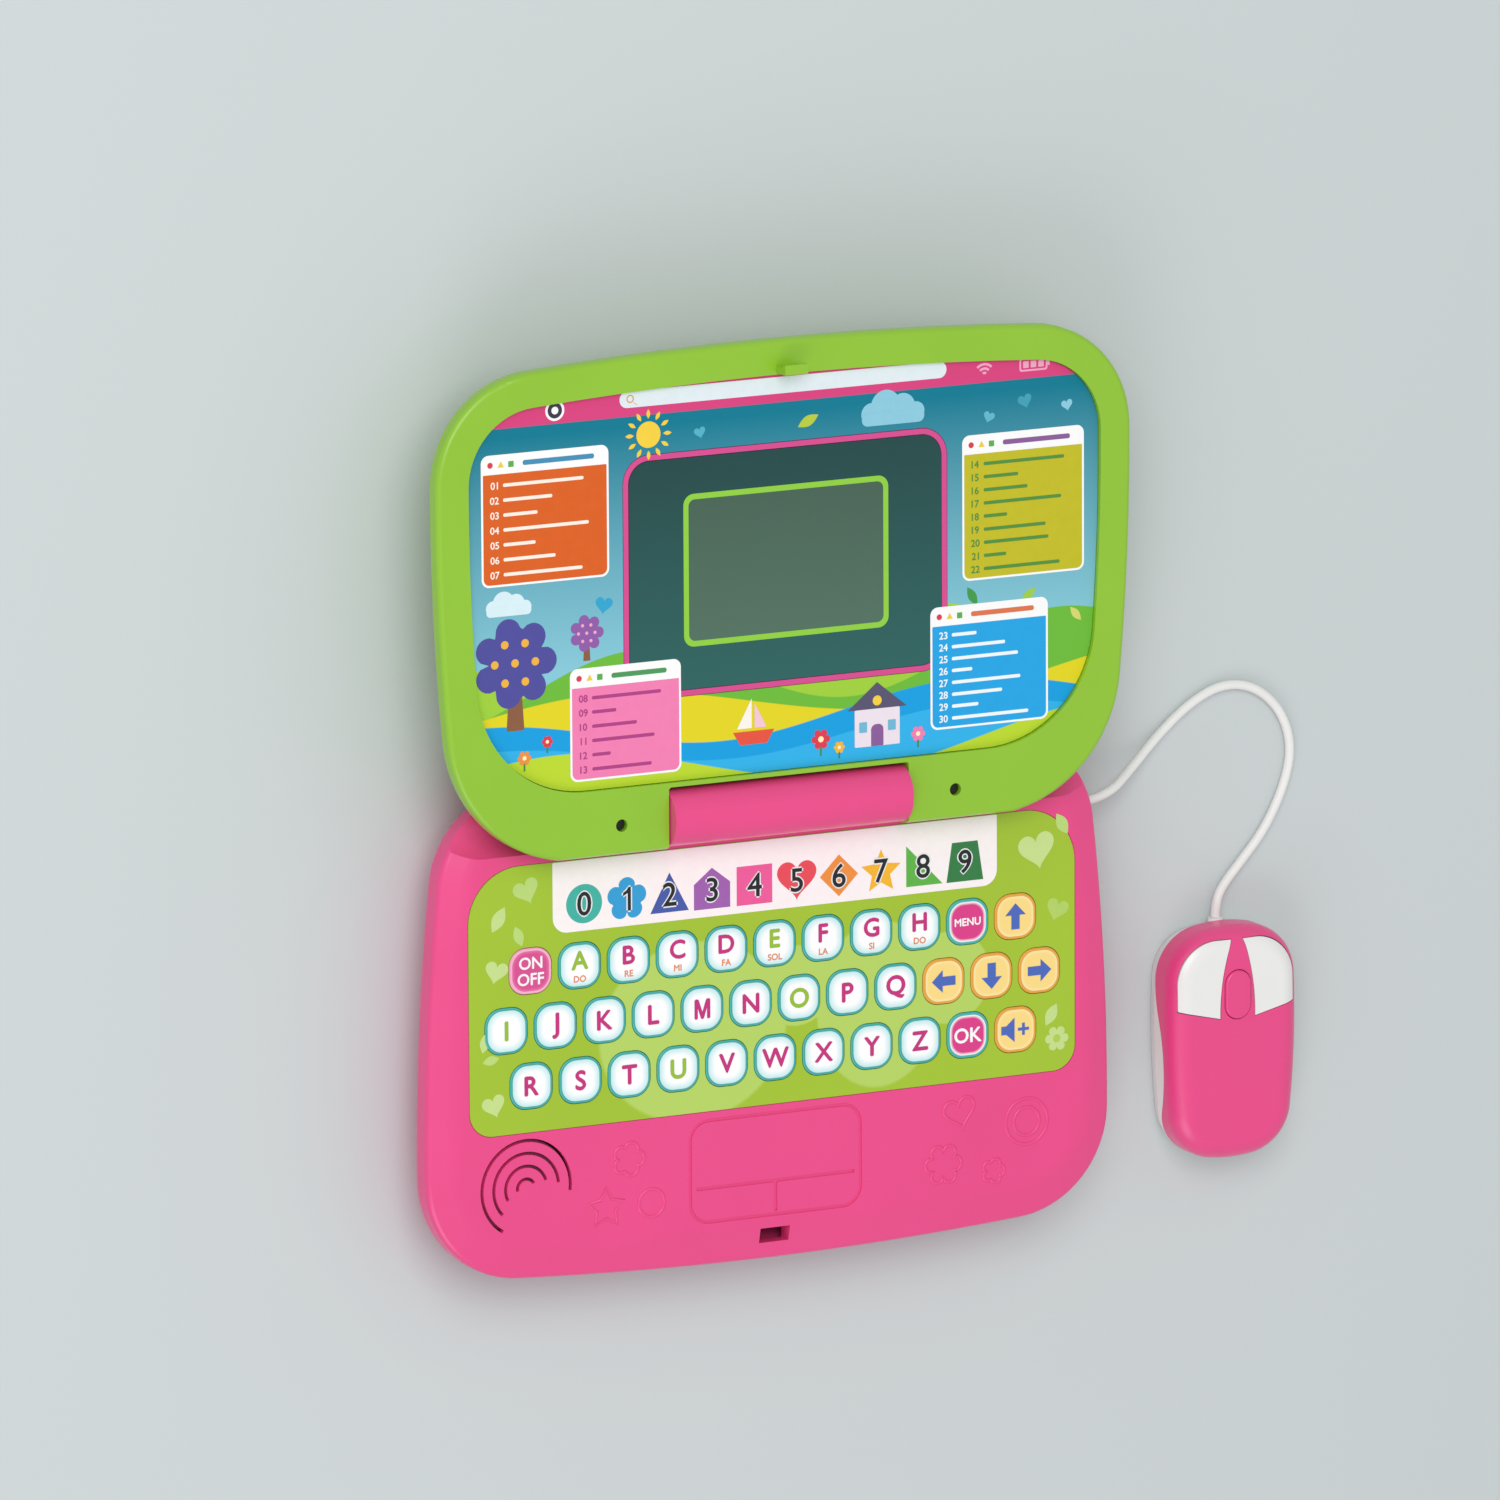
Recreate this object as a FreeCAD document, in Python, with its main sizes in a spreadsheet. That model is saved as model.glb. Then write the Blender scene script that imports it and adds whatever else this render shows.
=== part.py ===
import FreeCAD, Part
import Sketcher
import math
import os
import re
from FreeCAD import Vector

# Toy laptop with a wired mouse, lying open flat.
# Frame: +X right, +Y to the rear, +Z up, origin on the table under the middle of the base.
# All sizes are in millimetres.
SIZES = {
    # Base casing, seen from above
    "base_width": 242.6,
    "base_front": 81.5,
    "base_rear": 79.0,
    "widest_from_front": 41.5,
    "side_bow": 817.0,
    "front_bow": 1260.0,
    "front_corner": 34.0,
    "rear_corner": 32.0,
    # Base casing, heights
    "deck_height": 28.0,
    "parting_height": 20.0,
    "rim_drop": 3.0,
    "band_side": 9.0,
    "band_front": 12.0,
    "hull_height": 17.0,
    "hull_inset": 14.0,
    "shell_wall": 2.2,
    "deck_wall": 2.0,
    "rim_wall": 3.7,
    "deck_edge": 15.0,
    "rim_edge": 2.0,
    "chine_edge": 6.0,
    "sole_edge": 5.0,
    # Hinge
    "hinge_from_centre": 67.5,
    "hinge_rise": 6.0,
    "ear_radius": 10.0,
    "swing_gap": 0.5,
    "barrel_radius": 9.3,
    "barrel_length": 84.0,
    "barrel_gap": 0.4,
    "pin_radius": 2.5,
    "pin_length": 22.0,
    "pin_grip": 11.0,
    "running_gap": 0.05,
    # Keyboard film and keys
    "film_margin": 13.8,
    "film_front": 30.5,
    "film_rear": 55.5,
    "film_rear_corner": 18.0,
    "film_front_corner": 8.0,
    "film_thickness": 0.6,
    "key_space": 2.4,
    "key_corner": 5.6,
    "key_edge": 0.4,
    "key_gap": 0.2,
    "key_proud": 0.3,
    "key_travel": 0.5,
    "film_pitches": 12.5,
    "row_pitch": 18.5,
    "first_row": 21.5,
    "membrane_thickness": 1.4,
    "membrane_margin": 4.5,
    "membrane_front": 31.0,
    "membrane_rear": 46.0,
    "board_thickness": 1.6,
    "board_width": 150.0,
    "stop_gap": 0.1,
    # Palm rest
    "grille_margin": 33.3,
    "grille_y": 48.5,
    "grille_radius": 15.5,
    "grille_step": 4.15,
    "grille_slot": 1.1,
    "grille_count": 4.0,
    "speaker_radius": 15.5,
    "speaker_depth": 9.0,
    "touchpad_width": 60.5,
    "touchpad_rear": 33.5,
    "touchpad_front": 66.5,
    "touchpad_keys": 55.5,
    "touchpad_corner": 7.0,
    "groove_width": 1.1,
    "groove_depth": 0.5,
    "latch_y": 73.3,
    "latch_slot_width": 10.5,
    "latch_slot_depth": 5.0,
    # Battery box, underside
    "cell_radius": 7.25,
    "cell_length": 50.5,
    "cell_pitch": 15.3,
    "cell_count": 3.0,
    "cell_gap": 0.4,
    "contact_space": 1.2,
    "battery_y": 8.0,
    "battery_wall": 3.5,
    "cover_thickness": 3.0,
    "cover_lip": 3.0,
    "cover_gap": 0.2,
    "cover_ear": 10.0,
    "contact_thickness": 0.4,
    "battery_roof": 1.4,
    "cover_screw_length": 9.0,
    # Screws
    "screw_head_radius": 2.6,
    "screw_head_height": 1.8,
    "screw_radius": 1.3,
    "screw_hole_gap": 0.05,
    "screw_recess_gap": 0.3,
    "boss_radius": 4.2,
    "boss_floor": 3.0,
    "front_screw_x": 60.0,
    "front_screw_y": 58.0,
    "rear_screw_margin": 33.3,
    "rear_screw_y": 55.0,
    "base_screw_length": 19.0,
    # Lid casing
    "lid_margin": 1.0,
    "frame_thickness": 5.0,
    "frame_edge": 1.8,
    "lid_near_corner": 46.0,
    "lid_hull_inset": 7.0,
    "lid_wall": 2.0,
    "lid_back_edge": 6.0,
    "notch_lip": 1.4,
    "notch_corner": 1.0,
    "art_border": 11.0,
    "art_thickness": 1.6,
    "art_recess": 3.2,
    "art_gap": 0.2,
    "art_near_corner": 38.0,
    "ear_screw_inset": 17.0,
    "ear_screw_depth": 3.4,
    "ear_screw_head": 1.7,
    "ear_screw_length": 8.0,
    "ear_screw_radius": 1.0,
    "hook_width": 8.0,
    "hook_thickness": 2.2,
    "hook_height": 6.5,
    "hook_lip": 0.9,
    # Screen
    "screen_width": 114.0,
    "screen_near": 39.0,
    "screen_far": 117.0,
    "screen_corner": 9.0,
    "bezel_width": 1.8,
    "lcd_width": 80.0,
    "lcd_near": 50.0,
    "lcd_far": 108.0,
    "lcd_depth": 6.0,
    "lcd_corner": 2.0,
    # Mouse
    "mouse_y": -31.25,
    "mouse_width": 47.2,
    "mouse_length": 77.0,
    "mouse_height": 19.0,
    "mouse_parting": 6.0,
    "mouse_side_bow": 300.0,
    "mouse_widest": 8.0,
    "mouse_end_bow": 50.0,
    "mouse_corner": 17.0,
    "mouse_crown": 7.0,
    "mouse_wall": 1.8,
    "mouse_hull_inset": 2.0,
    "grip_y": -6.0,
    "grip_rise": 5.6,
    "grip_reach": 30.0,
    "mouse_button_depth": 5.0,
    "mouse_button_gap": 0.25,
    "mouse_button_travel": 0.8,
    "mouse_button_front": 34.6,
    "mouse_button_rear": 9.0,
    "mouse_button_outer": 21.0,
    "mouse_button_corner": 14.0,
    "mouse_button_sweep": 3.5,
    "spine_front": 2.2,
    "spine_swell": 1.2,
    "spine_rear": 6.4,
    "pad_y": 16.5,
    "pad_half_width": 4.6,
    "pad_half_length": 8.0,
    "pad_proud": 0.8,
    "mouse_board_width": 30.0,
    "mouse_board_length": 44.0,
    # Mouse lead
    "cord_radius": 1.5,
    "sleeve_radius": 2.4,
    "sleeve_height": 3.4,
    "sleeve_length": 0.5,
    "relief_radius": 3.2,
    "relief_tip_radius": 2.2,
    "relief_length": 16.0,
    "relief_flange": 5.0,
    "relief_inset": 18.3,
    "lead_reach": 52.8,
    "relief_y": 52.5,
    "relief_z": 12.0,
    "relief_flange_length": 1.6,
}

# Sizes that follow from the ones above
FOLLOWING = {
    "film_width": "base_width - 2 * film_margin",
    "key_pitch": "film_width / film_pitches",
    "key_width": "key_pitch - key_space",
    "membrane_width": "film_width - 2 * membrane_margin",
    "grille_x": "base_width / 2 - grille_margin",
    "rear_screw_x": "base_width / 2 - rear_screw_margin",
    "ear_screw_x": "barrel_length / 2 + ear_screw_inset",
    "relief_x": "base_width / 2 - relief_inset",
    "mouse_x": "relief_x + relief_length + lead_reach",
}

doc = FreeCAD.newDocument("toy_laptop")
sheet = doc.addObject("Spreadsheet::Sheet", "sizes")
cells = {alias: str(number) for alias, number in SIZES.items()}
cells.update({alias: "=" + formula for alias, formula in FOLLOWING.items()})
for row, (alias, content) in enumerate(cells.items(), start=1):
    sheet.set("A%d" % row, alias)
    sheet.set("B%d" % row, content)
    sheet.setAlias("B%d" % row, alias)
doc.recompute()


def bound(text):
    """The text of a sum of sheet names, written as an expression on the sheet."""
    return re.sub(r"[a-z][a-z_]+", lambda word: "sizes." + word.group(0), text)


def value(text):
    """The number that such a sum comes to, in millimetres."""
    return float(sheet.evalExpression(bound(text)))


# Helpers for bodies, sketches and features

SAME_HEIGHT = 0.01


def new_body(label):
    body = doc.addObject("PartDesign::Body", label)
    body.Label = label
    return body


def new_sketch(body, role="XY_Plane", level=None):
    """A sketch on one of the body's own planes, lifted along the plane's normal to a bound level."""
    sketch = body.newObject("Sketcher::SketchObject", body.Name + "_sketch")
    plane = next(feature for feature in body.Origin.OriginFeatures if feature.Role == role)
    sketch.AttachmentSupport = [(plane, "")]
    sketch.MapMode = "FlatFace"
    if level is not None:
        sketch.setExpression("AttachmentOffset.Base.z", bound(level))
    return sketch


def add_loop(sketch, edges):
    """Closed loop of lines and arcs, each joined to the next."""
    first = sketch.GeometryCount
    sketch.addGeometry(edges, False)
    return first


def line(start, end):
    return Part.LineSegment(Vector(start[0], start[1], 0), Vector(end[0], end[1], 0))


def arc(start, through, end):
    points = [Vector(point[0], point[1], 0) for point in (start, through, end)]
    return Part.Arc(*points)


def bind_distance(sketch, kind, geometry, point, text):
    """Ties one coordinate of a point to the sheet, unless it lies on the axis."""
    number = value(text)
    if abs(number) < 1e-9:
        return
    index = sketch.addConstraint(Sketcher.Constraint(kind, -1, 1, geometry, point, number))
    sketch.setExpression("Constraints[%d]" % index, bound(text))


def draw_circle(sketch, x_text, y_text, radius_text):
    centre = Vector(value(x_text), value(y_text), 0)
    circle = sketch.addGeometry(Part.Circle(centre, Vector(0, 0, 1), value(radius_text)), False)
    radius = sketch.addConstraint(Sketcher.Constraint("Radius", circle, value(radius_text)))
    sketch.setExpression("Constraints[%d]" % radius, bound(radius_text))
    bind_distance(sketch, "DistanceX", circle, 3, x_text)
    bind_distance(sketch, "DistanceY", circle, 3, y_text)


def draw_rectangle(sketch, x_low, y_low, x_high, y_high):
    """Rectangle whose four sides are tied to the sheet."""
    low = (value(x_low), value(y_low))
    high = (value(x_high), value(y_high))
    corners = [low, (high[0], low[1]), high, (low[0], high[1])]
    first = add_loop(sketch, [line(corners[i], corners[(i + 1) % 4]) for i in range(4)])
    joints = [Sketcher.Constraint("Coincident", first + i, 2, first + (i + 1) % 4, 1) for i in range(4)]
    kinds = ("Horizontal", "Vertical", "Horizontal", "Vertical")
    sketch.addConstraint(joints + [Sketcher.Constraint(kind, first + i) for i, kind in enumerate(kinds)])
    bind_distance(sketch, "DistanceX", first, 1, x_low)
    bind_distance(sketch, "DistanceY", first, 1, y_low)
    bind_distance(sketch, "DistanceX", first + 1, 2, x_high)
    bind_distance(sketch, "DistanceY", first + 1, 2, y_high)


def rounded_loop(x_low, y_low, x_high, y_high, radii):
    """Rectangle with its own radius at each corner: low left, low right, high right, high left."""
    corners = [(x_low, y_low, 1, 1), (x_high, y_low, -1, 1), (x_high, y_high, -1, -1), (x_low, y_high, 1, -1)]
    edges = []
    ends = []
    for (x, y, sx, sy), radius in zip(corners, radii):
        slant = radius * (1 - math.sqrt(0.5))
        along_y = (x, y + sy * radius)
        along_x = (x + sx * radius, y)
        middle = (x + sx * slant, y + sy * slant)
        first, last = (along_y, along_x) if sx * sy > 0 else (along_x, along_y)
        ends.append((first, middle, last))
    for i in range(4):
        edges.append(arc(*ends[i]))
        edges.append(line(ends[i][2], ends[(i + 1) % 4][0]))
    return edges


def draw_rounded(sketch, x_low, y_low, x_high, y_high, *radii):
    """Rounded rectangle from bound texts, with one radius or four."""
    sizes = [value(text) for text in radii] * (4 // len(radii))
    box = [value(text) for text in (x_low, y_low, x_high, y_high)]
    first = add_loop(sketch, rounded_loop(*box, sizes))
    start = sketch.ConstraintCount
    sketch.addConstraint([Sketcher.Constraint("Radius", first + 2 * i, sizes[i]) for i in range(4)])
    for i in range(4):
        sketch.setExpression("Constraints[%d]" % (start + i), bound(radii[i % len(radii)]))


def pad(body, sketch, length, reverse=False, both=False):
    feature = body.newObject("PartDesign::Pad", body.Name + "_pad")
    feature.Profile = sketch
    feature.setExpression("Length", bound(length))
    feature.Reversed = reverse
    feature.SideType = "Symmetric" if both else "One side"
    return feature


def pocket(body, sketch, length, reverse=False, both=False):
    """Cut of a bound depth; it has to take some material away."""
    doc.recompute()
    before = body.Shape.Volume
    feature = body.newObject("PartDesign::Pocket", body.Name + "_pocket")
    feature.Profile = sketch
    feature.setExpression("Length", bound(length))
    feature.Reversed = reverse
    feature.SideType = "Symmetric" if both else "One side"
    doc.recompute()
    if body.Shape.Volume > before - 1e-6:
        raise RuntimeError("a cut in %s takes nothing away" % body.Label)
    return feature


def loft(body, kind, sketches):
    feature = body.newObject("PartDesign::" + kind, body.Name + "_loft")
    feature.Profile = sketches[0]
    feature.Sections = sketches[1:]
    feature.Ruled = True
    return feature


def at_height(text):
    """Test for an edge's box that lies at one height all along."""
    height = value(text)
    return lambda box: abs(box.ZMin - height) < SAME_HEIGHT and abs(box.ZMax - height) < SAME_HEIGHT


def round_edges(body, base, radius, chosen):
    """Fillet on the edges of the base feature that the chosen test accepts."""
    doc.recompute()
    names = []
    for number, edge in enumerate(base.Shape.Edges, start=1):
        if chosen(edge.BoundBox):
            names.append("Edge%d" % number)
    feature = body.newObject("PartDesign::Fillet", body.Name + "_fillet")
    feature.Base = (base, names)
    feature.setExpression("Radius", bound(radius))
    return feature


# Bowed outline that the base, the lid and the mouse share in kind

def bowed_outline(half_width, front, rear, widest, side_bow, front_bow, front_corner, rear_corner,
                  rear_bow=None, mirror_y=None):
    """Plan of a casing, symmetric about X = 0, as a closed loop of eight edges.

    The sides are arcs of radius side_bow, widest at the given Y. The front is an arc of radius
    front_bow; the rear is a line, or an arc of radius rear_bow. The corners are tangent to both.
    With mirror_y the plan is turned over about the line Y = mirror_y.
    """
    side_centre = Vector(half_width - side_bow, widest, 0)
    front_centre = Vector(0, front + front_bow, 0)

    def corner_centre(radius, end_centre, end_bow, low):
        # The point at side_bow - radius from one centre and end_bow - radius from the other
        reach_a = side_bow - radius
        reach_b = end_bow - radius
        span = (end_centre - side_centre).Length
        toward = (end_centre - side_centre) / span
        along = (reach_a ** 2 - reach_b ** 2 + span ** 2) / (2 * span)
        off = math.sqrt(reach_a ** 2 - along ** 2)
        normal = Vector(-toward.y, toward.x, 0)
        choices = [side_centre + toward * along + normal * sign * off for sign in (1, -1)]
        choices.sort(key=lambda point: point.y)
        return choices[0] if low else choices[1]

    lower = corner_centre(front_corner, front_centre, front_bow, True)
    if rear_bow is None:
        rise = rear - rear_corner
        run = math.sqrt((side_bow - rear_corner) ** 2 - (rise - widest) ** 2)
        upper = Vector(side_centre.x + run, rise, 0)
        rear_point = Vector(upper.x, rear, 0)
    else:
        rear_centre = Vector(0, rear - rear_bow, 0)
        upper = corner_centre(rear_corner, rear_centre, rear_bow, False)
        rear_point = upper + (upper - rear_centre).normalize() * rear_corner
    front_point = lower + (lower - front_centre).normalize() * front_corner
    side_low = lower + (lower - side_centre).normalize() * front_corner
    side_high = upper + (upper - side_centre).normalize() * rear_corner

    def between(centre, radius, start, end):
        return centre + ((start - centre).normalize() + (end - centre).normalize()).normalize() * radius

    def flip(point):
        return Vector(-point.x, point.y, 0)

    def placed(*points):
        if mirror_y is None:
            return [(point[0], point[1]) for point in points]
        return [(point[0], 2 * mirror_y - point[1]) for point in points]

    corner_low = between(lower, front_corner, front_point, side_low)
    corner_high = between(upper, rear_corner, side_high, rear_point)
    side_middle = between(side_centre, side_bow, side_low, side_high)
    rear_edge = placed(rear_point, (0, rear), flip(rear_point))
    return [
        arc(*placed(flip(front_point), (0, front), front_point)),
        arc(*placed(front_point, corner_low, side_low)),
        arc(*placed(side_low, side_middle, side_high)),
        arc(*placed(side_high, corner_high, rear_point)),
        line(rear_edge[0], rear_edge[2]) if rear_bow is None else arc(*rear_edge),
        arc(*placed(flip(rear_point), flip(corner_high), flip(side_high))),
        arc(*placed(flip(side_high), flip(side_middle), flip(side_low))),
        arc(*placed(flip(side_low), flip(corner_low), flip(front_point))),
    ]


def base_outline(inset, front_inset=None):
    """Plan of the base, drawn in by an inset all round, or by another one at the front."""
    front_inset = inset if front_inset is None else front_inset
    return bowed_outline(
        value("base_width / 2") - inset,
        -value("base_front") + front_inset,
        value("base_rear") - inset,
        value("widest_from_front - base_front"),
        value("side_bow") - inset,
        value("front_bow") - front_inset,
        value("front_corner") - inset,
        value("rear_corner") - inset,
    )


def lid_outline(inset, near, near_corner):
    """Plan of the open lid: the base's plan turned over about the hinge, with its own hinge end."""
    grown = value("lid_margin") - inset
    return bowed_outline(
        value("base_width / 2") + grown,
        -value("base_front") - grown,
        value("hinge_from_centre") - near,
        value("widest_from_front - base_front"),
        value("side_bow") + grown,
        value("front_bow") + grown,
        value("front_corner") + grown,
        near_corner,
        mirror_y=value("hinge_from_centre"),
    )


HINGE_HEIGHT = "(deck_height + hinge_rise)"
BARREL_END = "(barrel_length / 2)"
EAR_START = "(barrel_length / 2 + barrel_gap)"
SWEEP = "(ear_radius + swing_gap)"
BORE = "(pin_radius + running_gap)"
SCREW_HOLE = "(screw_radius + screw_hole_gap)"
HEAD_HOLE = "(screw_head_radius + screw_recess_gap)"
SCREW_STEP = "(boss_floor + screw_head_height)"
KEY_FLOOR = "(deck_height - deck_wall)"
RIM_CEILING = "(deck_height - rim_drop - rim_wall)"

# Corner screws of the base, as signed sheet names
BASE_SCREWS = [
    ("front_screw_x", "-front_screw_y"),
    ("-front_screw_x", "-front_screw_y"),
    ("rear_screw_x", "rear_screw_y"),
    ("-rear_screw_x", "rear_screw_y"),
]

# Keys: the names along each row, and half the row's length in key pitches
FIRST_ROW = ["on_off"] + list("abcdefgh") + ["menu", "up"]
SECOND_ROW = list("ijklmnopq") + ["left", "down", "right"]
THIRD_ROW = list("rstuvwxyz") + ["ok", "volume"]
KEY_ROWS = [(FIRST_ROW, 5.0), (SECOND_ROW, 5.5), (THIRD_ROW, 5.0)]


def key_places():
    """Each key's name with its centre as two bound texts."""
    places = []
    for number, (names, half_row) in enumerate(KEY_ROWS):
        for place, name in enumerate(names):
            x_text = "(%g * key_pitch)" % (place - half_row)
            y_text = "(first_row - %d * row_pitch)" % number
            places.append((name, x_text, y_text))
    return places


def draw_key(sketch, x_text, y_text, grow):
    """Rounded square of one key, grown by a bound gap."""
    half = "(key_width / 2 + %s)" % grow
    corners = [x_text + " - " + half, y_text + " - " + half, x_text + " + " + half, y_text + " + " + half]
    draw_rounded(sketch, *corners, "key_corner + " + grow)


def cut_key_windows(body, depth):
    """A window for each key: the first one of a row, repeated along the row."""
    for number, (names, half_row) in enumerate(KEY_ROWS):
        sketch = new_sketch(body, level="deck_height")
        draw_key(sketch, "(%g * key_pitch)" % -half_row, "(first_row - %d * row_pitch)" % number, "key_gap")
        window = pocket(body, sketch, depth)
        window.Refine = False
        repeat = body.newObject("PartDesign::LinearPattern", body.Name + "_pattern")
        repeat.Refine = False
        repeat.Originals = [window]
        repeat.Direction = (sketch, ["H_Axis"])
        repeat.setExpression("Length", bound("%d * key_pitch" % (len(names) - 1)))
        repeat.Occurrences = len(names)
        body.Tip = repeat
    doc.recompute()


def draw_ear_waste(sketch):
    """Section in front of the hinge axis and outside the round of the lid's ears."""
    y = value("hinge_from_centre")
    z = value(HINGE_HEIGHT)
    reach = value("ear_radius")
    far = 2 * reach
    add_loop(sketch, [
        arc((y, z + reach), (y - reach, z), (y, z - reach)),
        line((y, z - reach), (y, z - far)),
        line((y, z - far), (y - far, z - far)),
        line((y - far, z - far), (y - far, z + far)),
        line((y - far, z + far), (y, z + far)),
        line((y, z + far), (y, z + reach)),
    ])


def draw_slot_arc(sketch, x, y, radius, width, start, end):
    """Slot of constant width along an arc, from one angle to the other in degrees."""
    def point(reach, angle):
        turn = math.radians(angle)
        return (x + reach * math.cos(turn), y + reach * math.sin(turn))

    inner = radius - width / 2
    outer = radius + width / 2
    middle = (start + end) / 2
    add_loop(sketch, [
        arc(point(outer, start), point(outer, middle), point(outer, end)),
        line(point(outer, end), point(inner, end)),
        arc(point(inner, end), point(inner, middle), point(inner, start)),
        line(point(inner, start), point(outer, start)),
    ])


# Base top shell: pink upper casing with the deck, the sloping band round it and the hinge barrel

top = new_body("base_top_shell")
sketch = new_sketch(top, level="parting_height")
add_loop(sketch, base_outline(0))
pad(top, sketch, "deck_height - rim_drop - parting_height")
rim = new_sketch(top, level="deck_height - rim_drop")
add_loop(rim, base_outline(0))
plateau = new_sketch(top, level="deck_height")
add_loop(plateau, base_outline(value("band_side"), value("band_front")))
band = loft(top, "AdditiveLoft", [rim, plateau])
soft_deck = round_edges(top, band, "deck_edge", at_height("deck_height"))
round_edges(top, soft_deck, "rim_edge", at_height("deck_height - rim_drop"))

# Room for the lid's round ears and, behind the axis, for its back
sketch = new_sketch(top, "YZ_Plane")
draw_circle(sketch, "hinge_from_centre", HINGE_HEIGHT, SWEEP)
pocket(top, sketch, "base_width", both=True)
sketch = new_sketch(top, "YZ_Plane")
draw_rectangle(sketch, "hinge_from_centre", HINGE_HEIGHT + " - " + SWEEP, "base_rear + shell_wall",
               "deck_height + hinge_rise")
pocket(top, sketch, "base_width", both=True)

# Hollow: shallow under the band, deeper under the deck
sketch = new_sketch(top, level="parting_height")
add_loop(sketch, base_outline(value("shell_wall")))
pocket(top, sketch, RIM_CEILING + " - parting_height", reverse=True)
sketch = new_sketch(top, level="parting_height")
draw_rounded(sketch, "band_side + band_front / 2 - base_width / 2", "band_front + rim_wall - base_front",
             "base_width / 2 - band_side - band_front / 2",
             "hinge_from_centre - ear_radius - deck_wall", "rim_wall")
pocket(top, sketch, KEY_FLOOR + " - parting_height", reverse=True)

# Hinge barrel on its foot, with a blind hole in each end for a pin
sketch = new_sketch(top, "YZ_Plane")
draw_rectangle(sketch, "hinge_from_centre - barrel_radius", RIM_CEILING, "hinge_from_centre + barrel_radius",
               HINGE_HEIGHT)
pad(top, sketch, "barrel_length", both=True)
sketch = new_sketch(top, "YZ_Plane")
draw_circle(sketch, "hinge_from_centre", HINGE_HEIGHT, "barrel_radius")
pad(top, sketch, "barrel_length", both=True)
for side in (1, -1):
    sketch = new_sketch(top, "YZ_Plane", level="%d * (barrel_length / 2 - pin_grip)" % side)
    draw_circle(sketch, "hinge_from_centre", HINGE_HEIGHT, "pin_radius")
    pocket(top, sketch, "pin_grip", reverse=side > 0)

# Recess for the printed film
sketch = new_sketch(top, level="deck_height")
draw_rounded(sketch, "-film_width / 2 - key_gap", "-film_front - key_gap", "film_width / 2 + key_gap",
             "film_rear + key_gap", "film_front_corner", "film_front_corner", "film_rear_corner",
             "film_rear_corner")
pocket(top, sketch, "film_thickness")

# Speaker slots, touchpad grooves and latch slot on the palm rest.
# The slots run between two angles in degrees, and each inner one is shorter at both ends.
SLOT_START = -8
SLOT_START_STEP = 12
SLOT_END = 238
SLOT_END_STEP = 15
sketch = new_sketch(top, level="deck_height")
for number in range(int(value("grille_count"))):
    draw_slot_arc(sketch, -value("grille_x"), -value("grille_y"),
                  value("grille_radius") - number * value("grille_step"), value("grille_slot"),
                  SLOT_START + SLOT_START_STEP * number, SLOT_END - SLOT_END_STEP * number)
pocket(top, sketch, "deck_wall")
sketch = new_sketch(top, level="deck_height")
GROOVE_SIDES = [
    ("groove_width / 2", "touchpad_corner"),
    ("-groove_width / 2", "touchpad_corner - groove_width"),
]
for grow, corner in GROOVE_SIDES:
    draw_rounded(sketch, "-touchpad_width / 2 - " + grow, "-touchpad_front - " + grow,
                 "touchpad_width / 2 + " + grow, "-touchpad_rear + " + grow, corner)
pocket(top, sketch, "groove_depth")
sketch = new_sketch(top, level="deck_height")
draw_rectangle(sketch, "2 * groove_width - touchpad_width / 2", "-touchpad_keys - groove_width / 2",
               "touchpad_width / 2 - 2 * groove_width", "-touchpad_keys + groove_width / 2")
pocket(top, sketch, "groove_depth")
sketch = new_sketch(top, level="deck_height")
draw_rectangle(sketch, "-groove_width / 2", "groove_width - touchpad_front", "groove_width / 2",
               "-touchpad_keys")
pocket(top, sketch, "groove_depth")
sketch = new_sketch(top, level="deck_height")
draw_rectangle(sketch, "-latch_slot_width / 2", "-latch_y - latch_slot_depth / 2", "latch_slot_width / 2",
               "latch_slot_depth / 2 - latch_y")
pocket(top, sketch, "deck_height - parting_height")

# Screw bosses down to the parting plane
sketch = new_sketch(top, level="parting_height")
for x_text, y_text in BASE_SCREWS:
    draw_circle(sketch, x_text, y_text, "boss_radius")
pad(top, sketch, KEY_FLOOR + " - parting_height")
sketch = new_sketch(top, level="parting_height")
for x_text, y_text in BASE_SCREWS:
    draw_circle(sketch, x_text, y_text, SCREW_HOLE)
pocket(top, sketch, SCREW_STEP + " + base_screw_length + stop_gap - parting_height", reverse=True)

# A window for each key
cut_key_windows(top, "deck_wall")

# Base bottom shell: pink lower casing like a shallow hull, with screw posts and the battery box

BOX_HALF_X = "((cell_length + contact_space) / 2)"
BOX_HALF_Y = "(cell_count * cell_pitch / 2)"
BOX_CEILING = "(cover_thickness + 2 * cell_radius + 2 * cell_gap)"
COVER_SCREW_X = "((cell_length + contact_space) / 2 + cover_lip + cover_ear / 2)"

bottom = new_body("base_bottom_shell")
sole = new_sketch(bottom)
add_loop(sole, base_outline(value("hull_inset")))
chine = new_sketch(bottom, level="hull_height")
add_loop(chine, base_outline(0))
loft(bottom, "AdditiveLoft", [sole, chine])
sketch = new_sketch(bottom, level="hull_height")
add_loop(sketch, base_outline(0))
hull = pad(bottom, sketch, "parting_height - hull_height")
soft_chine = round_edges(bottom, hull, "chine_edge", at_height("hull_height"))
round_edges(bottom, soft_chine, "sole_edge", at_height("0"))
doc.recompute()
inner_sole = new_sketch(bottom, level="shell_wall")
add_loop(inner_sole, base_outline(value("hull_inset") + value("shell_wall")))
inner_rim = new_sketch(bottom, level="parting_height")
add_loop(inner_rim, base_outline(value("shell_wall")))
loft(bottom, "SubtractiveLoft", [inner_sole, inner_rim])

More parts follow.
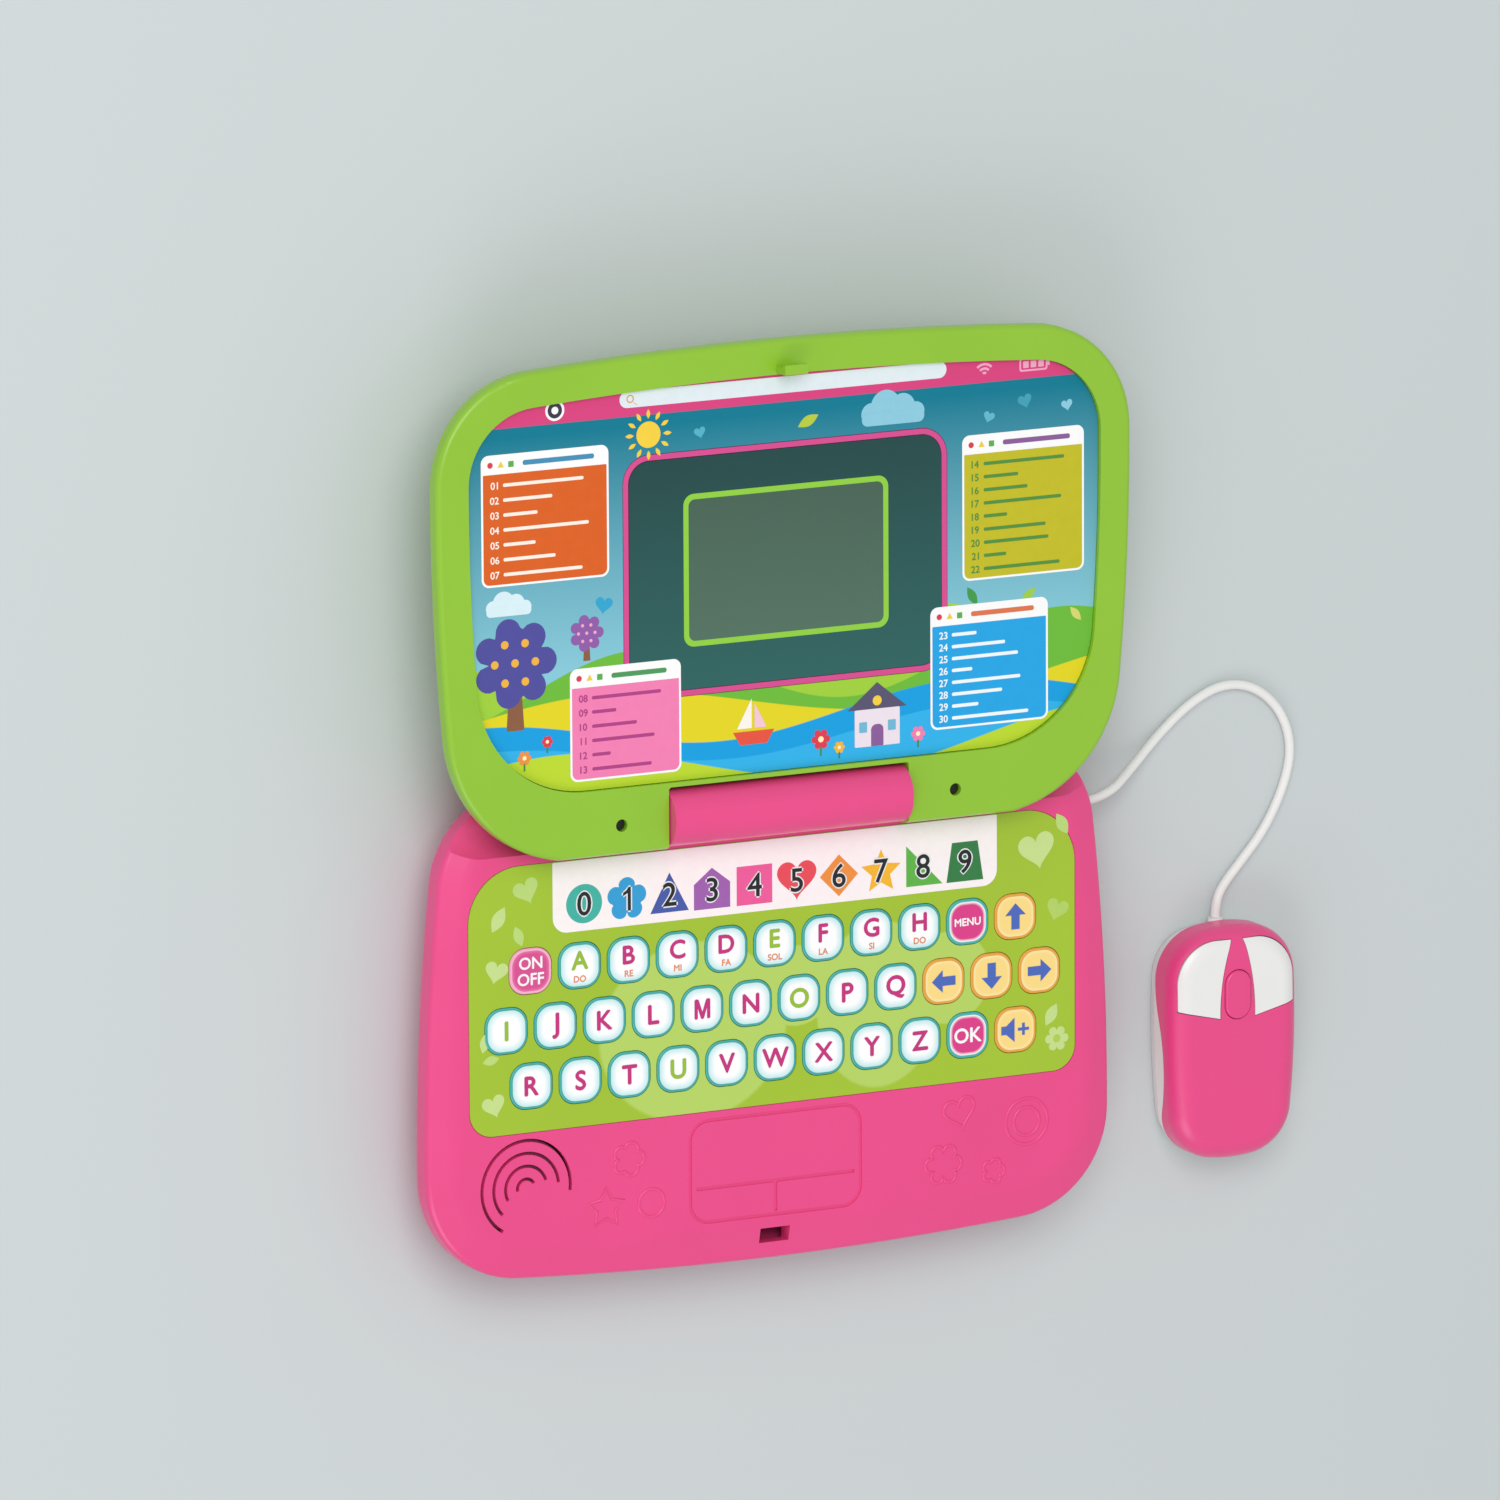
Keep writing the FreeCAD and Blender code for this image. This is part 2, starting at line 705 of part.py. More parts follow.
# Battery box walls and roof, the box itself, and the seat of its cover
sketch = new_sketch(bottom, level="shell_wall / 2")
draw_rectangle(sketch, "-" + BOX_HALF_X + " - battery_wall", "battery_y - " + BOX_HALF_Y + " - battery_wall",
               BOX_HALF_X + " + battery_wall", "battery_y + " + BOX_HALF_Y + " + battery_wall")
pad(bottom, sketch, BOX_CEILING + " + battery_roof - shell_wall / 2")
sketch = new_sketch(bottom, level="shell_wall / 2")
draw_rectangle(sketch, BOX_HALF_X, "battery_y - boss_radius - cover_lip",
               COVER_SCREW_X + " + boss_radius + cover_lip",
               "battery_y + boss_radius + cover_lip")
pad(bottom, sketch, "cover_thickness + cover_screw_length")
sketch = new_sketch(bottom)
draw_rectangle(sketch, "-" + BOX_HALF_X, "battery_y - " + BOX_HALF_Y, BOX_HALF_X, "battery_y + " + BOX_HALF_Y)
pocket(bottom, sketch, BOX_CEILING, reverse=True)
sketch = new_sketch(bottom)
draw_rectangle(sketch, "-" + BOX_HALF_X + " - cover_lip", "battery_y - " + BOX_HALF_Y + " - cover_lip",
               BOX_HALF_X + " + cover_lip", "battery_y + " + BOX_HALF_Y + " + cover_lip")
pocket(bottom, sketch, "cover_thickness", reverse=True)
sketch = new_sketch(bottom)
draw_rectangle(sketch, BOX_HALF_X, "battery_y - boss_radius", COVER_SCREW_X + " + boss_radius",
               "battery_y + boss_radius")
pocket(bottom, sketch, "cover_thickness", reverse=True)
sketch = new_sketch(bottom, level="cover_thickness")
draw_circle(sketch, COVER_SCREW_X, "battery_y", SCREW_HOLE)
pocket(bottom, sketch, "cover_screw_length + screw_head_height - cover_thickness + stop_gap", reverse=True)

# Screw posts, open from below for the heads
sketch = new_sketch(bottom, level="shell_wall / 2")
for x_text, y_text in BASE_SCREWS:
    draw_circle(sketch, x_text, y_text, "boss_radius")
pad(bottom, sketch, "parting_height - shell_wall / 2")
sketch = new_sketch(bottom)
for x_text, y_text in BASE_SCREWS:
    draw_circle(sketch, x_text, y_text, HEAD_HOLE)
pocket(bottom, sketch, SCREW_STEP, reverse=True)
sketch = new_sketch(bottom)
for x_text, y_text in BASE_SCREWS:
    draw_circle(sketch, x_text, y_text, SCREW_HOLE)
pocket(bottom, sketch, "parting_height", reverse=True)

# Hole in the right side for the lead's strain relief
sketch = new_sketch(bottom, "YZ_Plane", level="relief_x")
draw_circle(sketch, "relief_y", "relief_z", "relief_radius + screw_hole_gap")
pocket(bottom, sketch, "relief_length", reverse=True)

# Battery cover: flush plate with a tab for its screw

cover = new_body("battery_cover")
sketch = new_sketch(cover)
draw_rectangle(sketch, "-" + BOX_HALF_X + " - cover_lip + cover_gap",
               "battery_y - " + BOX_HALF_Y + " - cover_lip + cover_gap",
               BOX_HALF_X + " + cover_lip - cover_gap",
               "battery_y + " + BOX_HALF_Y + " + cover_lip - cover_gap")
pad(cover, sketch, "cover_thickness")
sketch = new_sketch(cover)
draw_rectangle(sketch, BOX_HALF_X, "battery_y - boss_radius + cover_gap",
               COVER_SCREW_X + " + boss_radius - cover_gap",
               "battery_y + boss_radius - cover_gap")
pad(cover, sketch, "cover_thickness")
sketch = new_sketch(cover)
draw_circle(sketch, COVER_SCREW_X, "battery_y", HEAD_HOLE)
pocket(cover, sketch, "screw_head_height + stop_gap", reverse=True)
sketch = new_sketch(cover)
draw_circle(sketch, COVER_SCREW_X, "battery_y", SCREW_HOLE)
pocket(cover, sketch, "cover_thickness", reverse=True)


# Groups of like pieces are compounds of primitives, each tied to the sheet

def new_solid(kind, label, **bindings):
    """Primitive whose properties are tied to the sheet; place_x and so on set where it stands."""
    solid = doc.addObject("Part::" + kind, label)
    solid.Label = label
    for name, text in bindings.items():
        path = name if not name.startswith("place_") else "Placement.Base." + name[-1]
        solid.setExpression(path, bound(text))
    return solid


def lay_along_x(solid):
    """Turns an upright round primitive so that its axis runs along +X."""
    solid.Placement.Rotation = FreeCAD.Rotation(Vector(0, 1, 0), 90)


def group(kind, label, members):
    """One sub-part of several primitives: a Compound keeps them apart, a MultiFuse joins them."""
    whole = doc.addObject("Part::" + kind, label)
    whole.Label = label
    if kind == "Compound":
        whole.Links = members
    else:
        whole.Shapes = members
    return whole


def screw(label, x_text, y_text, head_z, shank_z, length, head_radius="screw_head_radius",
          shank_radius="screw_radius"):
    """Pan-head screw: a head and a shank, whose lower ends are given."""
    place = {"place_x": x_text, "place_y": y_text}
    head = new_solid("Cylinder", label + "_head", Radius=head_radius, Height="screw_head_height",
                     place_z=head_z, **place)
    shank = new_solid("Cylinder", label + "_shank", Radius=shank_radius, Height=length, place_z=shank_z,
                      **place)
    return group("MultiFuse", label, [head, shank])


cover_screw = screw("battery_cover_screw", COVER_SCREW_X, "battery_y", "stop_gap",
                    "stop_gap + screw_head_height", "cover_screw_length - stop_gap")
group("Compound", "base_screws", [cover_screw] + [
    screw("base_screw_%d" % number, x_text, y_text, "boss_floor", SCREW_STEP, "base_screw_length")
    for number, (x_text, y_text) in enumerate(BASE_SCREWS, start=1)
])

# Three round cells side by side, between two strips of contact metal

cells = []
for number in range(int(value("cell_count"))):
    cell = new_solid("Cylinder", "battery_cell_%d" % (number + 1), Radius="cell_radius", Height="cell_length",
                     place_x="-cell_length / 2", place_z="cover_thickness + cell_gap + cell_radius",
                     place_y="battery_y + (%g - (cell_count - 1) / 2) * cell_pitch" % number)
    lay_along_x(cell)
    cells.append(cell)
group("Compound", "battery_cells", cells)
strips = []
for name, x_text in (("left", "-" + BOX_HALF_X), ("right", BOX_HALF_X + " - contact_thickness")):
    strips.append(new_solid("Box", "contact_strip_" + name, Length="contact_thickness",
                            Width="(cell_count - 1) * cell_pitch + cell_radius", Height="cell_radius",
                            place_x=x_text, place_z="cover_thickness + cell_gap + cell_radius / 2",
                            place_y="battery_y - ((cell_count - 1) * cell_pitch + cell_radius) / 2"))
group("Compound", "battery_contacts", strips)

# Hinge pins: steel, pressed into the barrel and running in the lid's ears

pins = []
PIN_STARTS = [
    ("left", "-" + BARREL_END + " + pin_grip - pin_length"),
    ("right", BARREL_END + " - pin_grip"),
]
for name, x_text in PIN_STARTS:
    pin = new_solid("Cylinder", "hinge_pin_" + name, Radius="pin_radius", Height="pin_length", place_x=x_text,
                    place_y="hinge_from_centre", place_z=HINGE_HEIGHT)
    lay_along_x(pin)
    pins.append(pin)
group("Compound", "hinge_pins", pins)

# Printed film over the deck, with a window for each key

film = new_body("keyboard_overlay")
sketch = new_sketch(film, level="deck_height - film_thickness")
draw_rounded(sketch, "-film_width / 2", "-film_front", "film_width / 2", "film_rear",
             "film_front_corner", "film_front_corner", "film_rear_corner", "film_rear_corner")
pad(film, sketch, "film_thickness")
cut_key_windows(film, "film_thickness")

# Keys: shallow rounded caps that stand on the contact sheet

KEY_BOTTOM = KEY_FLOOR + " + key_travel + stop_gap"
for name, x_text, y_text in key_places():
    key = new_body("key_" + name)
    sketch = new_sketch(key, level=KEY_BOTTOM)
    draw_key(sketch, x_text, y_text, "0")
    cap = pad(key, sketch, "deck_wall + key_proud - key_travel - stop_gap")
    round_edges(key, cap, "key_edge", at_height("deck_height + key_proud"))

# Contact sheet, circuit board and speaker under the deck

new_solid("Box", "key_membrane", Length="membrane_width", Width="membrane_front + membrane_rear",
          Height="membrane_thickness", place_x="-membrane_width / 2", place_y="-membrane_front",
          place_z=KEY_FLOOR + " - membrane_thickness")
new_solid("Box", "main_board", Length="board_width", Width="membrane_front + membrane_rear",
          Height="board_thickness", place_x="-board_width / 2", place_y="-membrane_front",
          place_z=KEY_FLOOR + " - membrane_thickness - board_thickness")
new_solid("Cylinder", "speaker", Radius="speaker_radius", Height="speaker_depth", place_x="-grille_x",
          place_y="-grille_y", place_z=KEY_FLOOR + " - speaker_depth")


# Lid: front frame, back shell and what they hold, in the open pose behind the hinge axis

FRAME_FACE = "(deck_height + hinge_rise + frame_thickness)"
ART_FLOOR = "(deck_height + hinge_rise + frame_thickness - art_recess)"
NOTCH_END = "(hinge_from_centre + ear_radius + swing_gap)"
NEAR_EDGE = -value("ear_radius")
ART_NEAR = value("ear_radius + swing_gap + notch_lip")


def cut_hinge_end(body, level, depth, reverse):
    """Rounds the lid's ears about the hinge axis, notches the lid for the barrel and bores for the pins."""
    sketch = new_sketch(body, "YZ_Plane")
    draw_ear_waste(sketch)
    pocket(body, sketch, "2 * base_width", both=True)
    sketch = new_sketch(body, level=level)
    draw_rounded(sketch, "-" + EAR_START, "hinge_from_centre - 2 * ear_radius", EAR_START, NOTCH_END,
                 "notch_corner")
    pocket(body, sketch, depth, reverse=reverse)
    for side in (1, -1):
        sketch = new_sketch(body, "YZ_Plane", level="%d * %s" % (side, BARREL_END))
        draw_circle(sketch, "hinge_from_centre", HINGE_HEIGHT, BORE)
        pocket(body, sketch, "pin_length - pin_grip + stop_gap", reverse=side > 0)


EAR_HOLE = "(ear_screw_radius + screw_hole_gap)"


def lid_screw_holes(body, level, radius, depth):
    sketch = new_sketch(body, level=level)
    for x_text in ("-ear_screw_x", "ear_screw_x"):
        draw_circle(sketch, x_text, "hinge_from_centre", radius)
    pocket(body, sketch, depth)


frame = new_body("lid_front_frame")
sketch = new_sketch(frame, level=HINGE_HEIGHT)
add_loop(sketch, lid_outline(0, NEAR_EDGE, value("lid_near_corner")))
plate = pad(frame, sketch, "frame_thickness")
round_edges(frame, plate, "frame_edge", at_height(FRAME_FACE))
cut_hinge_end(frame, FRAME_FACE, "frame_thickness", False)
sketch = new_sketch(frame, level=FRAME_FACE)
add_loop(sketch, lid_outline(value("art_border"), ART_NEAR, value("art_near_corner")))
pocket(frame, sketch, "art_recess")
sketch = new_sketch(frame, level=FRAME_FACE)
draw_rounded(sketch, "-lcd_width / 2 - art_gap", "hinge_from_centre + lcd_near - art_gap",
             "lcd_width / 2 + art_gap",
             "hinge_from_centre + lcd_far + art_gap", "lcd_corner")
pocket(frame, sketch, "frame_thickness")
lid_screw_holes(frame, FRAME_FACE, "(ear_screw_head + screw_recess_gap)", "ear_screw_depth")
lid_screw_holes(frame, FRAME_FACE, EAR_HOLE, "frame_thickness")

# Latch hook at the far end, which drops into the slot of the base
HOOK_Y = "(2 * hinge_from_centre + latch_y)"
sketch = new_sketch(frame, level=FRAME_FACE)
draw_rectangle(sketch, "-hook_width / 2", HOOK_Y + " - hook_thickness / 2", "hook_width / 2",
               HOOK_Y + " + hook_thickness / 2")
pad(frame, sketch, "hook_height")
sketch = new_sketch(frame, level=FRAME_FACE + " + hook_height - 2 * hook_lip")
draw_rectangle(sketch, "-hook_width / 2", HOOK_Y, "hook_width / 2",
               HOOK_Y + " + hook_thickness / 2 + hook_lip")
pad(frame, sketch, "2 * hook_lip")

back = new_body("lid_back_shell")
lip = new_sketch(back, level=HINGE_HEIGHT)
add_loop(lip, lid_outline(0, NEAR_EDGE, value("lid_near_corner")))
crown = new_sketch(back, level=HINGE_HEIGHT + " - ear_radius")
add_loop(crown, lid_outline(value("lid_hull_inset"), NEAR_EDGE, value("lid_near_corner - lid_hull_inset")))
hull = loft(back, "AdditiveLoft", [lip, crown])
round_edges(back, hull, "lid_back_edge", at_height(HINGE_HEIGHT + " - ear_radius"))
doc.recompute()
cut_hinge_end(back, HINGE_HEIGHT, "ear_radius", False)
sketch = new_sketch(back, level=HINGE_HEIGHT)
add_loop(sketch, lid_outline(value("lid_hull_inset + lid_wall"), ART_NEAR + value("lid_wall"),
                             value("art_near_corner")))
pocket(back, sketch, "ear_radius - lid_wall")
lid_screw_holes(back, HINGE_HEIGHT, EAR_HOLE,
                "ear_screw_length + ear_screw_depth + stop_gap - frame_thickness")

group("Compound", "lid_screws", [
    screw("lid_screw_" + name, x_text, "hinge_from_centre", FRAME_FACE + " - ear_screw_depth",
          FRAME_FACE + " - ear_screw_depth - ear_screw_length", "ear_screw_length", "ear_screw_head",
          "ear_screw_radius")
    for name, x_text in (("left", "-ear_screw_x"), ("right", "ear_screw_x"))
])

# Printed art panel in the frame's recess, open for the screen
art = new_body("lid_art_panel")
sketch = new_sketch(art, level=ART_FLOOR)
add_loop(sketch,
         lid_outline(value("art_border + art_gap"), ART_NEAR + value("art_gap"), value("art_near_corner")))
pad(art, sketch, "art_thickness")


def draw_screen(sketch, inset):
    """Rounded outline of the screen, drawn in by a bound inset."""
    draw_rounded(sketch, "%s - screen_width / 2" % inset, "hinge_from_centre + screen_near + " + inset,
                 "screen_width / 2 - " + inset, "hinge_from_centre + screen_far - " + inset,
                 "screen_corner - " + inset)


sketch = new_sketch(art, level=ART_FLOOR)
draw_screen(sketch, "(0 - art_gap)")
pocket(art, sketch, "art_thickness", reverse=True)

# Pink bezel ring and clear window, both flush with the panel, and the display module behind them
bezel = new_body("screen_bezel")
sketch = new_sketch(bezel, level=ART_FLOOR)
draw_screen(sketch, "0")
draw_screen(sketch, "bezel_width")
pad(bezel, sketch, "art_thickness")

window = new_body("screen_window")
sketch = new_sketch(window, level=ART_FLOOR)
draw_screen(sketch, "(bezel_width + art_gap)")
pad(window, sketch, "art_thickness")

lcd = new_body("lcd_module")
sketch = new_sketch(lcd, level=ART_FLOOR)
draw_rounded(sketch, "-lcd_width / 2", "hinge_from_centre + lcd_near", "lcd_width / 2",
             "hinge_from_centre + lcd_far",
             "lcd_corner")
pad(lcd, sketch, "lcd_depth", reverse=True)


# Mouse: its pieces are drawn about its own middle and then set beside the base

def new_mouse_body(label):
    body = new_body(label)
    body.setExpression("Placement.Base.x", bound("mouse_x"))
    body.setExpression("Placement.Base.y", bound("mouse_y"))
    return body


def mouse_outline(inset):
    half = value("mouse_length / 2") - inset
    return bowed_outline(
        value("mouse_width / 2") - inset,
        -half,
        half,
        value("mouse_widest"),
        value("mouse_side_bow") - inset,
        value("mouse_end_bow") - inset,
        value("mouse_corner") - inset,
        value("mouse_corner") - inset,
        rear_bow=value("mouse_end_bow") - inset,
    )


def mouse_form(body):
    """The whole mouse as one block: a sole that is drawn in, upright sides and a rounded crown."""
    sole = new_sketch(body)
    add_loop(sole, mouse_outline(value("mouse_hull_inset")))
    chine = new_sketch(body, level="mouse_parting")
    add_loop(chine, mouse_outline(0))
    loft(body, "AdditiveLoft", [sole, chine])
    sketch = new_sketch(body, level="mouse_parting")
    add_loop(sketch, mouse_outline(0))
    block = pad(body, sketch, "mouse_height - mouse_parting")
    round_edges(body, block, "mouse_crown", at_height("mouse_height"))
    doc.recompute()


def cut_at_parting(body, above):
    """Takes away what lies above or below the parting line, which arches softly at the finger grips."""
    low = value("mouse_parting")
    rise = value("grip_rise")
    reach = value("grip_reach")
    middle = value("grip_y")
    far = value("mouse_length")
    end = value("2 * mouse_height") if above else -value("mouse_height")
    radius = (reach ** 2 + rise ** 2) / (4 * rise)
    bend_turn = math.asin(reach / 2 / radius) / 2
    bend_x = reach - radius * math.sin(bend_turn)
    bend_z = low + radius * (1 - math.cos(bend_turn))
    turn_x = reach / 2
    turn_z = low + rise / 2
    sketch = new_sketch(body, "YZ_Plane")
    add_loop(sketch, [
        line((-far, low), (middle - reach, low)),
        arc((middle - reach, low), (middle - bend_x, bend_z), (middle - turn_x, turn_z)),
        arc((middle - turn_x, turn_z), (middle, low + rise), (middle + turn_x, turn_z)),
        arc((middle + turn_x, turn_z), (middle + bend_x, bend_z), (middle + reach, low)),
        line((middle + reach, low), (far, low)),
        line((far, low), (far, end)),
        line((far, end), (-far, end)),
        line((-far, end), (-far, low)),
    ])
    pocket(body, sketch, "2 * mouse_width", both=True)


def draw_mouse_button(sketch, side, grow):
    """Plan of one button: round at the front outer corner, hollowed beside the spine, grown by a gap."""
    front = value("mouse_button_front") + grow
    rear = value("mouse_button_rear") - grow
    outer = value("mouse_button_outer") + grow
    inner_front = value("spine_front") - grow
    inner_rear = value("spine_rear") - grow
    swell = (inner_front + inner_rear) / 2 + value("spine_swell")
    middle = (front + rear) / 2
    shoulder = front - value("mouse_button_corner")
    slant = value("mouse_button_corner") * (1 - math.sqrt(0.5))
    turn = outer - value("mouse_button_corner")
    corners = {
        "inner_front": (side * inner_front, front),
        "turn": (side * turn, front),
        "bend": (side * (outer - slant), front - slant),
        "shoulder": (side * outer, shoulder),
        "outer_rear": (side * outer, rear + value("mouse_button_sweep")),
        "inner_rear": (side * inner_rear, rear),
        "hollow": (side * swell, middle),
    }
    add_loop(sketch, [
        line(corners["inner_front"], corners["turn"]),
        arc(corners["turn"], corners["bend"], corners["shoulder"]),
        line(corners["shoulder"], corners["outer_rear"]),
        line(corners["outer_rear"], corners["inner_rear"]),
        arc(corners["inner_rear"], corners["hollow"], corners["inner_front"]),
    ])


def draw_pad(sketch, grow):
    """Oval of the scroll pad: two straight sides with half-round ends."""
    half = value("pad_half_width") + grow
    reach = value("pad_half_length - pad_half_width")
    y = value("pad_y")
    add_loop(sketch, [
        line((half, y - reach), (half, y + reach)),
        arc((half, y + reach), (0, y + reach + half), (-half, y + reach)),
        line((-half, y + reach), (-half, y - reach)),
        arc((-half, y - reach), (0, y - reach - half), (half, y - reach)),
    ])


BUTTON_FLOOR = "(mouse_height - mouse_button_depth)"
BUTTON_BOTTOM = "(mouse_height - mouse_button_depth + mouse_button_travel + mouse_button_gap)"
BUTTON_GAP = value("mouse_button_gap")

shell = new_mouse_body("mouse_top_shell")
mouse_form(shell)
cut_at_parting(shell, False)
sketch = new_sketch(shell, level="mouse_parting")
add_loop(sketch, mouse_outline(value("mouse_wall")))
pocket(shell, sketch, "mouse_height - mouse_crown - mouse_parting", reverse=True)
sketch = new_sketch(shell, level="mouse_parting")
add_loop(sketch, mouse_outline(value("mouse_crown - mouse_wall")))
pocket(shell, sketch, BUTTON_FLOOR + " - mouse_wall - mouse_parting", reverse=True)
for side in (1, -1):
    sketch = new_sketch(shell, level="mouse_height")
    draw_mouse_button(sketch, side, BUTTON_GAP)
    pocket(shell, sketch, "mouse_button_depth")
sketch = new_sketch(shell, level="mouse_height")
draw_pad(sketch, BUTTON_GAP)
pocket(shell, sketch, "mouse_button_depth")

for name, side in (("mouse_left_button", -1), ("mouse_right_button", 1)):
    button = new_mouse_body(name)
    mouse_form(button)
    sketch = new_sketch(button, level="mouse_height")
    draw_rectangle(sketch, "-mouse_width", "-mouse_length", "mouse_width", "mouse_length")
    draw_mouse_button(sketch, side, 0)
    pocket(button, sketch, "mouse_height")
    sketch = new_sketch(button, level=BUTTON_BOTTOM)
    draw_rectangle(sketch, "-mouse_width", "-mouse_length", "mouse_width", "mouse_length")
    pocket(button, sketch, "mouse_height")

scroll = new_mouse_body("mouse_scroll_pad")
sketch = new_sketch(scroll, level=BUTTON_BOTTOM)
draw_pad(sketch, 0)
knob = pad(scroll, sketch, "mouse_height + pad_proud - " + BUTTON_BOTTOM)
round_edges(scroll, knob, "pad_proud", at_height("mouse_height + pad_proud"))

tray = new_mouse_body("mouse_bottom_shell")
mouse_form(tray)
cut_at_parting(tray, True)
sketch = new_sketch(tray, level="mouse_parting + grip_rise")
add_loop(sketch, mouse_outline(value("mouse_hull_inset + mouse_wall")))
pocket(tray, sketch, "mouse_parting + grip_rise - mouse_wall")

# Sleeve at the mouse's front end, which grips the lead
sketch = new_sketch(tray, "XZ_Plane", level="0 - mouse_length / 2 + mouse_hull_inset")
draw_circle(sketch, "0", "sleeve_height", "sleeve_radius")
pad(tray, sketch, "mouse_hull_inset + sleeve_length", reverse=True)

new_solid("Box", "mouse_board", Length="mouse_board_width", Width="mouse_board_length",
          Height="board_thickness",
          place_x="mouse_x - mouse_board_width / 2", place_y="mouse_y - mouse_board_length / 2",
          place_z="mouse_wall")


# Strain relief in the base's side: a flange inside and a sleeve that tapers outwards

flange = new_solid("Cylinder", "relief_flange", Radius="relief_flange", Height="relief_flange_length",
                   place_x="relief_x - relief_flange_length", place_y="relief_y", place_z="relief_z")
sleeve = new_solid("Cone", "relief_sleeve", Radius1="relief_radius", Radius2="relief_tip_radius",
                   Height="relief_length", place_x="relief_x", place_y="relief_y", place_z="relief_z")
for solid in (flange, sleeve):
    lay_along_x(solid)
group("MultiFuse", "cord_strain_relief", [flange, sleeve])

# Mouse lead: straight out of the strain relief, down to the table, round in a loose bend to the mouse.
# Its points are chosen by hand, as shares of its reach to the right and rearwards from the strain relief,
# and of the relief's height; a point with no height lies on the table.

RELIEF_TIP = Vector(value("relief_x + relief_length"), value("relief_y"), value("relief_z"))
SLEEVE_TIP = Vector(value("mouse_x"), value("mouse_y + mouse_length / 2 + sleeve_length"),
                    value("sleeve_height"))
LEAD_SHARES = [
    (0.180, 0.021, 0.950),
    (0.398, 0.142, 0.433),
    (0.625, 0.322, 0),
    (0.843, 0.498, 0),
    (1.070, 0.597, 0),
    (1.297, 0.559, 0),
    (1.477, 0.394, 0),
    (1.553, 0.167, 0),
    (1.502, -0.076, 0),
    (1.364, -0.341, 0),
    (1.193, -0.530, 0),
    (1.057, -0.669, 0.183),
    (1.006, -0.763, 0.267),
]
CORD_POINTS = [RELIEF_TIP]
for right, rear, lift in LEAD_SHARES:
    reach = value("lead_reach")
    height = max(value("cord_radius"), lift * RELIEF_TIP.z)
    CORD_POINTS.append(Vector(RELIEF_TIP.x + right * reach, RELIEF_TIP.y + rear * reach, height))
CORD_POINTS.append(SLEEVE_TIP)
RUN_SHARE = 0.45


def rounded_path(points):
    """Straight runs joined by tangent arcs, each as large as its two runs allow; prints the radii."""
    edges = []
    radii = []
    start = points[0]
    for before, corner, after in zip(points, points[1:], points[2:]):
        back = before - corner
        ahead = after - corner
        reach = RUN_SHARE * min(back.Length, ahead.Length)
        half_turn = (math.pi - back.getAngle(ahead)) / 2
        radius = reach / math.tan(half_turn)
        entry = corner + back.normalize() * reach
        leave = corner + ahead.normalize() * reach
        inward = (back + ahead).normalize()
        middle = corner + inward * (radius / math.cos(half_turn) - radius)
        edges.append(Part.LineSegment(start, entry).toShape())
        edges.append(Part.Arc(entry, middle, leave).toShape())
        radii.append(round(radius, 1))
        start = leave
    edges.append(Part.LineSegment(start, points[-1]).toShape())
    print("lead radii", radii)
    return Part.Wire(edges)


path = rounded_path(CORD_POINTS)
first_run = CORD_POINTS[1] - CORD_POINTS[0]
section = Part.Wire(Part.makeCircle(value("cord_radius"), CORD_POINTS[0], first_run))
sweep = Part.BRepOffsetAPI.MakePipeShell(path)
sweep.add(section)
sweep.build()
sweep.makeSolid()
cord = doc.addObject("Part::Feature", "mouse_cord")
cord.Label = "mouse_cord"
cord.Shape = sweep.shape()
plain_volume = math.pi * value("cord_radius") ** 2 * path.Length
print("lead length", round(path.Length, 1), "volume over plain tube",
      round(cord.Shape.Volume / plain_volume, 4))

# Every object has to be sound before anything is written

doc.recompute()
for item in doc.Objects:
    if "Invalid" in item.State or "Error" in item.State:
        raise RuntimeError("%s failed: %s" % (item.Label, item.State))
pieces = [item for item in doc.Objects if hasattr(item, "Shape") and not item.InList]
for piece in pieces:
    if piece.Shape.isNull() or not piece.Shape.isValid():
        raise RuntimeError("%s has no sound shape" % piece.Label)
os.makedirs("parts", exist_ok=True)
for piece in pieces:
    piece.Shape.exportStep("parts/%s.step" % piece.Label)
print(len(pieces), "sub-parts written")
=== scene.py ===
import bpy
import numpy as np
from mathutils import Matrix, Vector


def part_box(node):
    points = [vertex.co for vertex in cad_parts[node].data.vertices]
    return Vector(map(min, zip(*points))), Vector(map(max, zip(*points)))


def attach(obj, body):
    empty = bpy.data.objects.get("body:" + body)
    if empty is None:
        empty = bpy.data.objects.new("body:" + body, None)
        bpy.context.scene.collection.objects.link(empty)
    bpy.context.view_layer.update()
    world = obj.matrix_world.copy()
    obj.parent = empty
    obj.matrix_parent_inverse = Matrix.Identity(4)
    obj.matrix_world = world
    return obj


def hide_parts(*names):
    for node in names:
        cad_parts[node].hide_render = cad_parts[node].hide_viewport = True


# Toy laptop with a wired mouse, lying open flat on a table.
# The toy's lengths are written in millimetres and turned to metres by MM.
# Those of the table, the lights and the camera are in metres.
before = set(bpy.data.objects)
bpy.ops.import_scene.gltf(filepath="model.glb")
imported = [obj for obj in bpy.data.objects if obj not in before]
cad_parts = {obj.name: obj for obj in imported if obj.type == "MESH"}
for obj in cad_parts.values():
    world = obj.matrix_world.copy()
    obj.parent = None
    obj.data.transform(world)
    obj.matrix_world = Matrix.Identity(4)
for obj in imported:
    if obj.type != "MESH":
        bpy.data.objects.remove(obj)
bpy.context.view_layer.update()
MM = 0.001


# Base casing: an upper and a lower half in pink ABS, injection moulded and screwed together from below.
# The battery cover is moulded in the same plastic. The satin skin comes from the spark-eroded mould.

PINK = "ec4589"


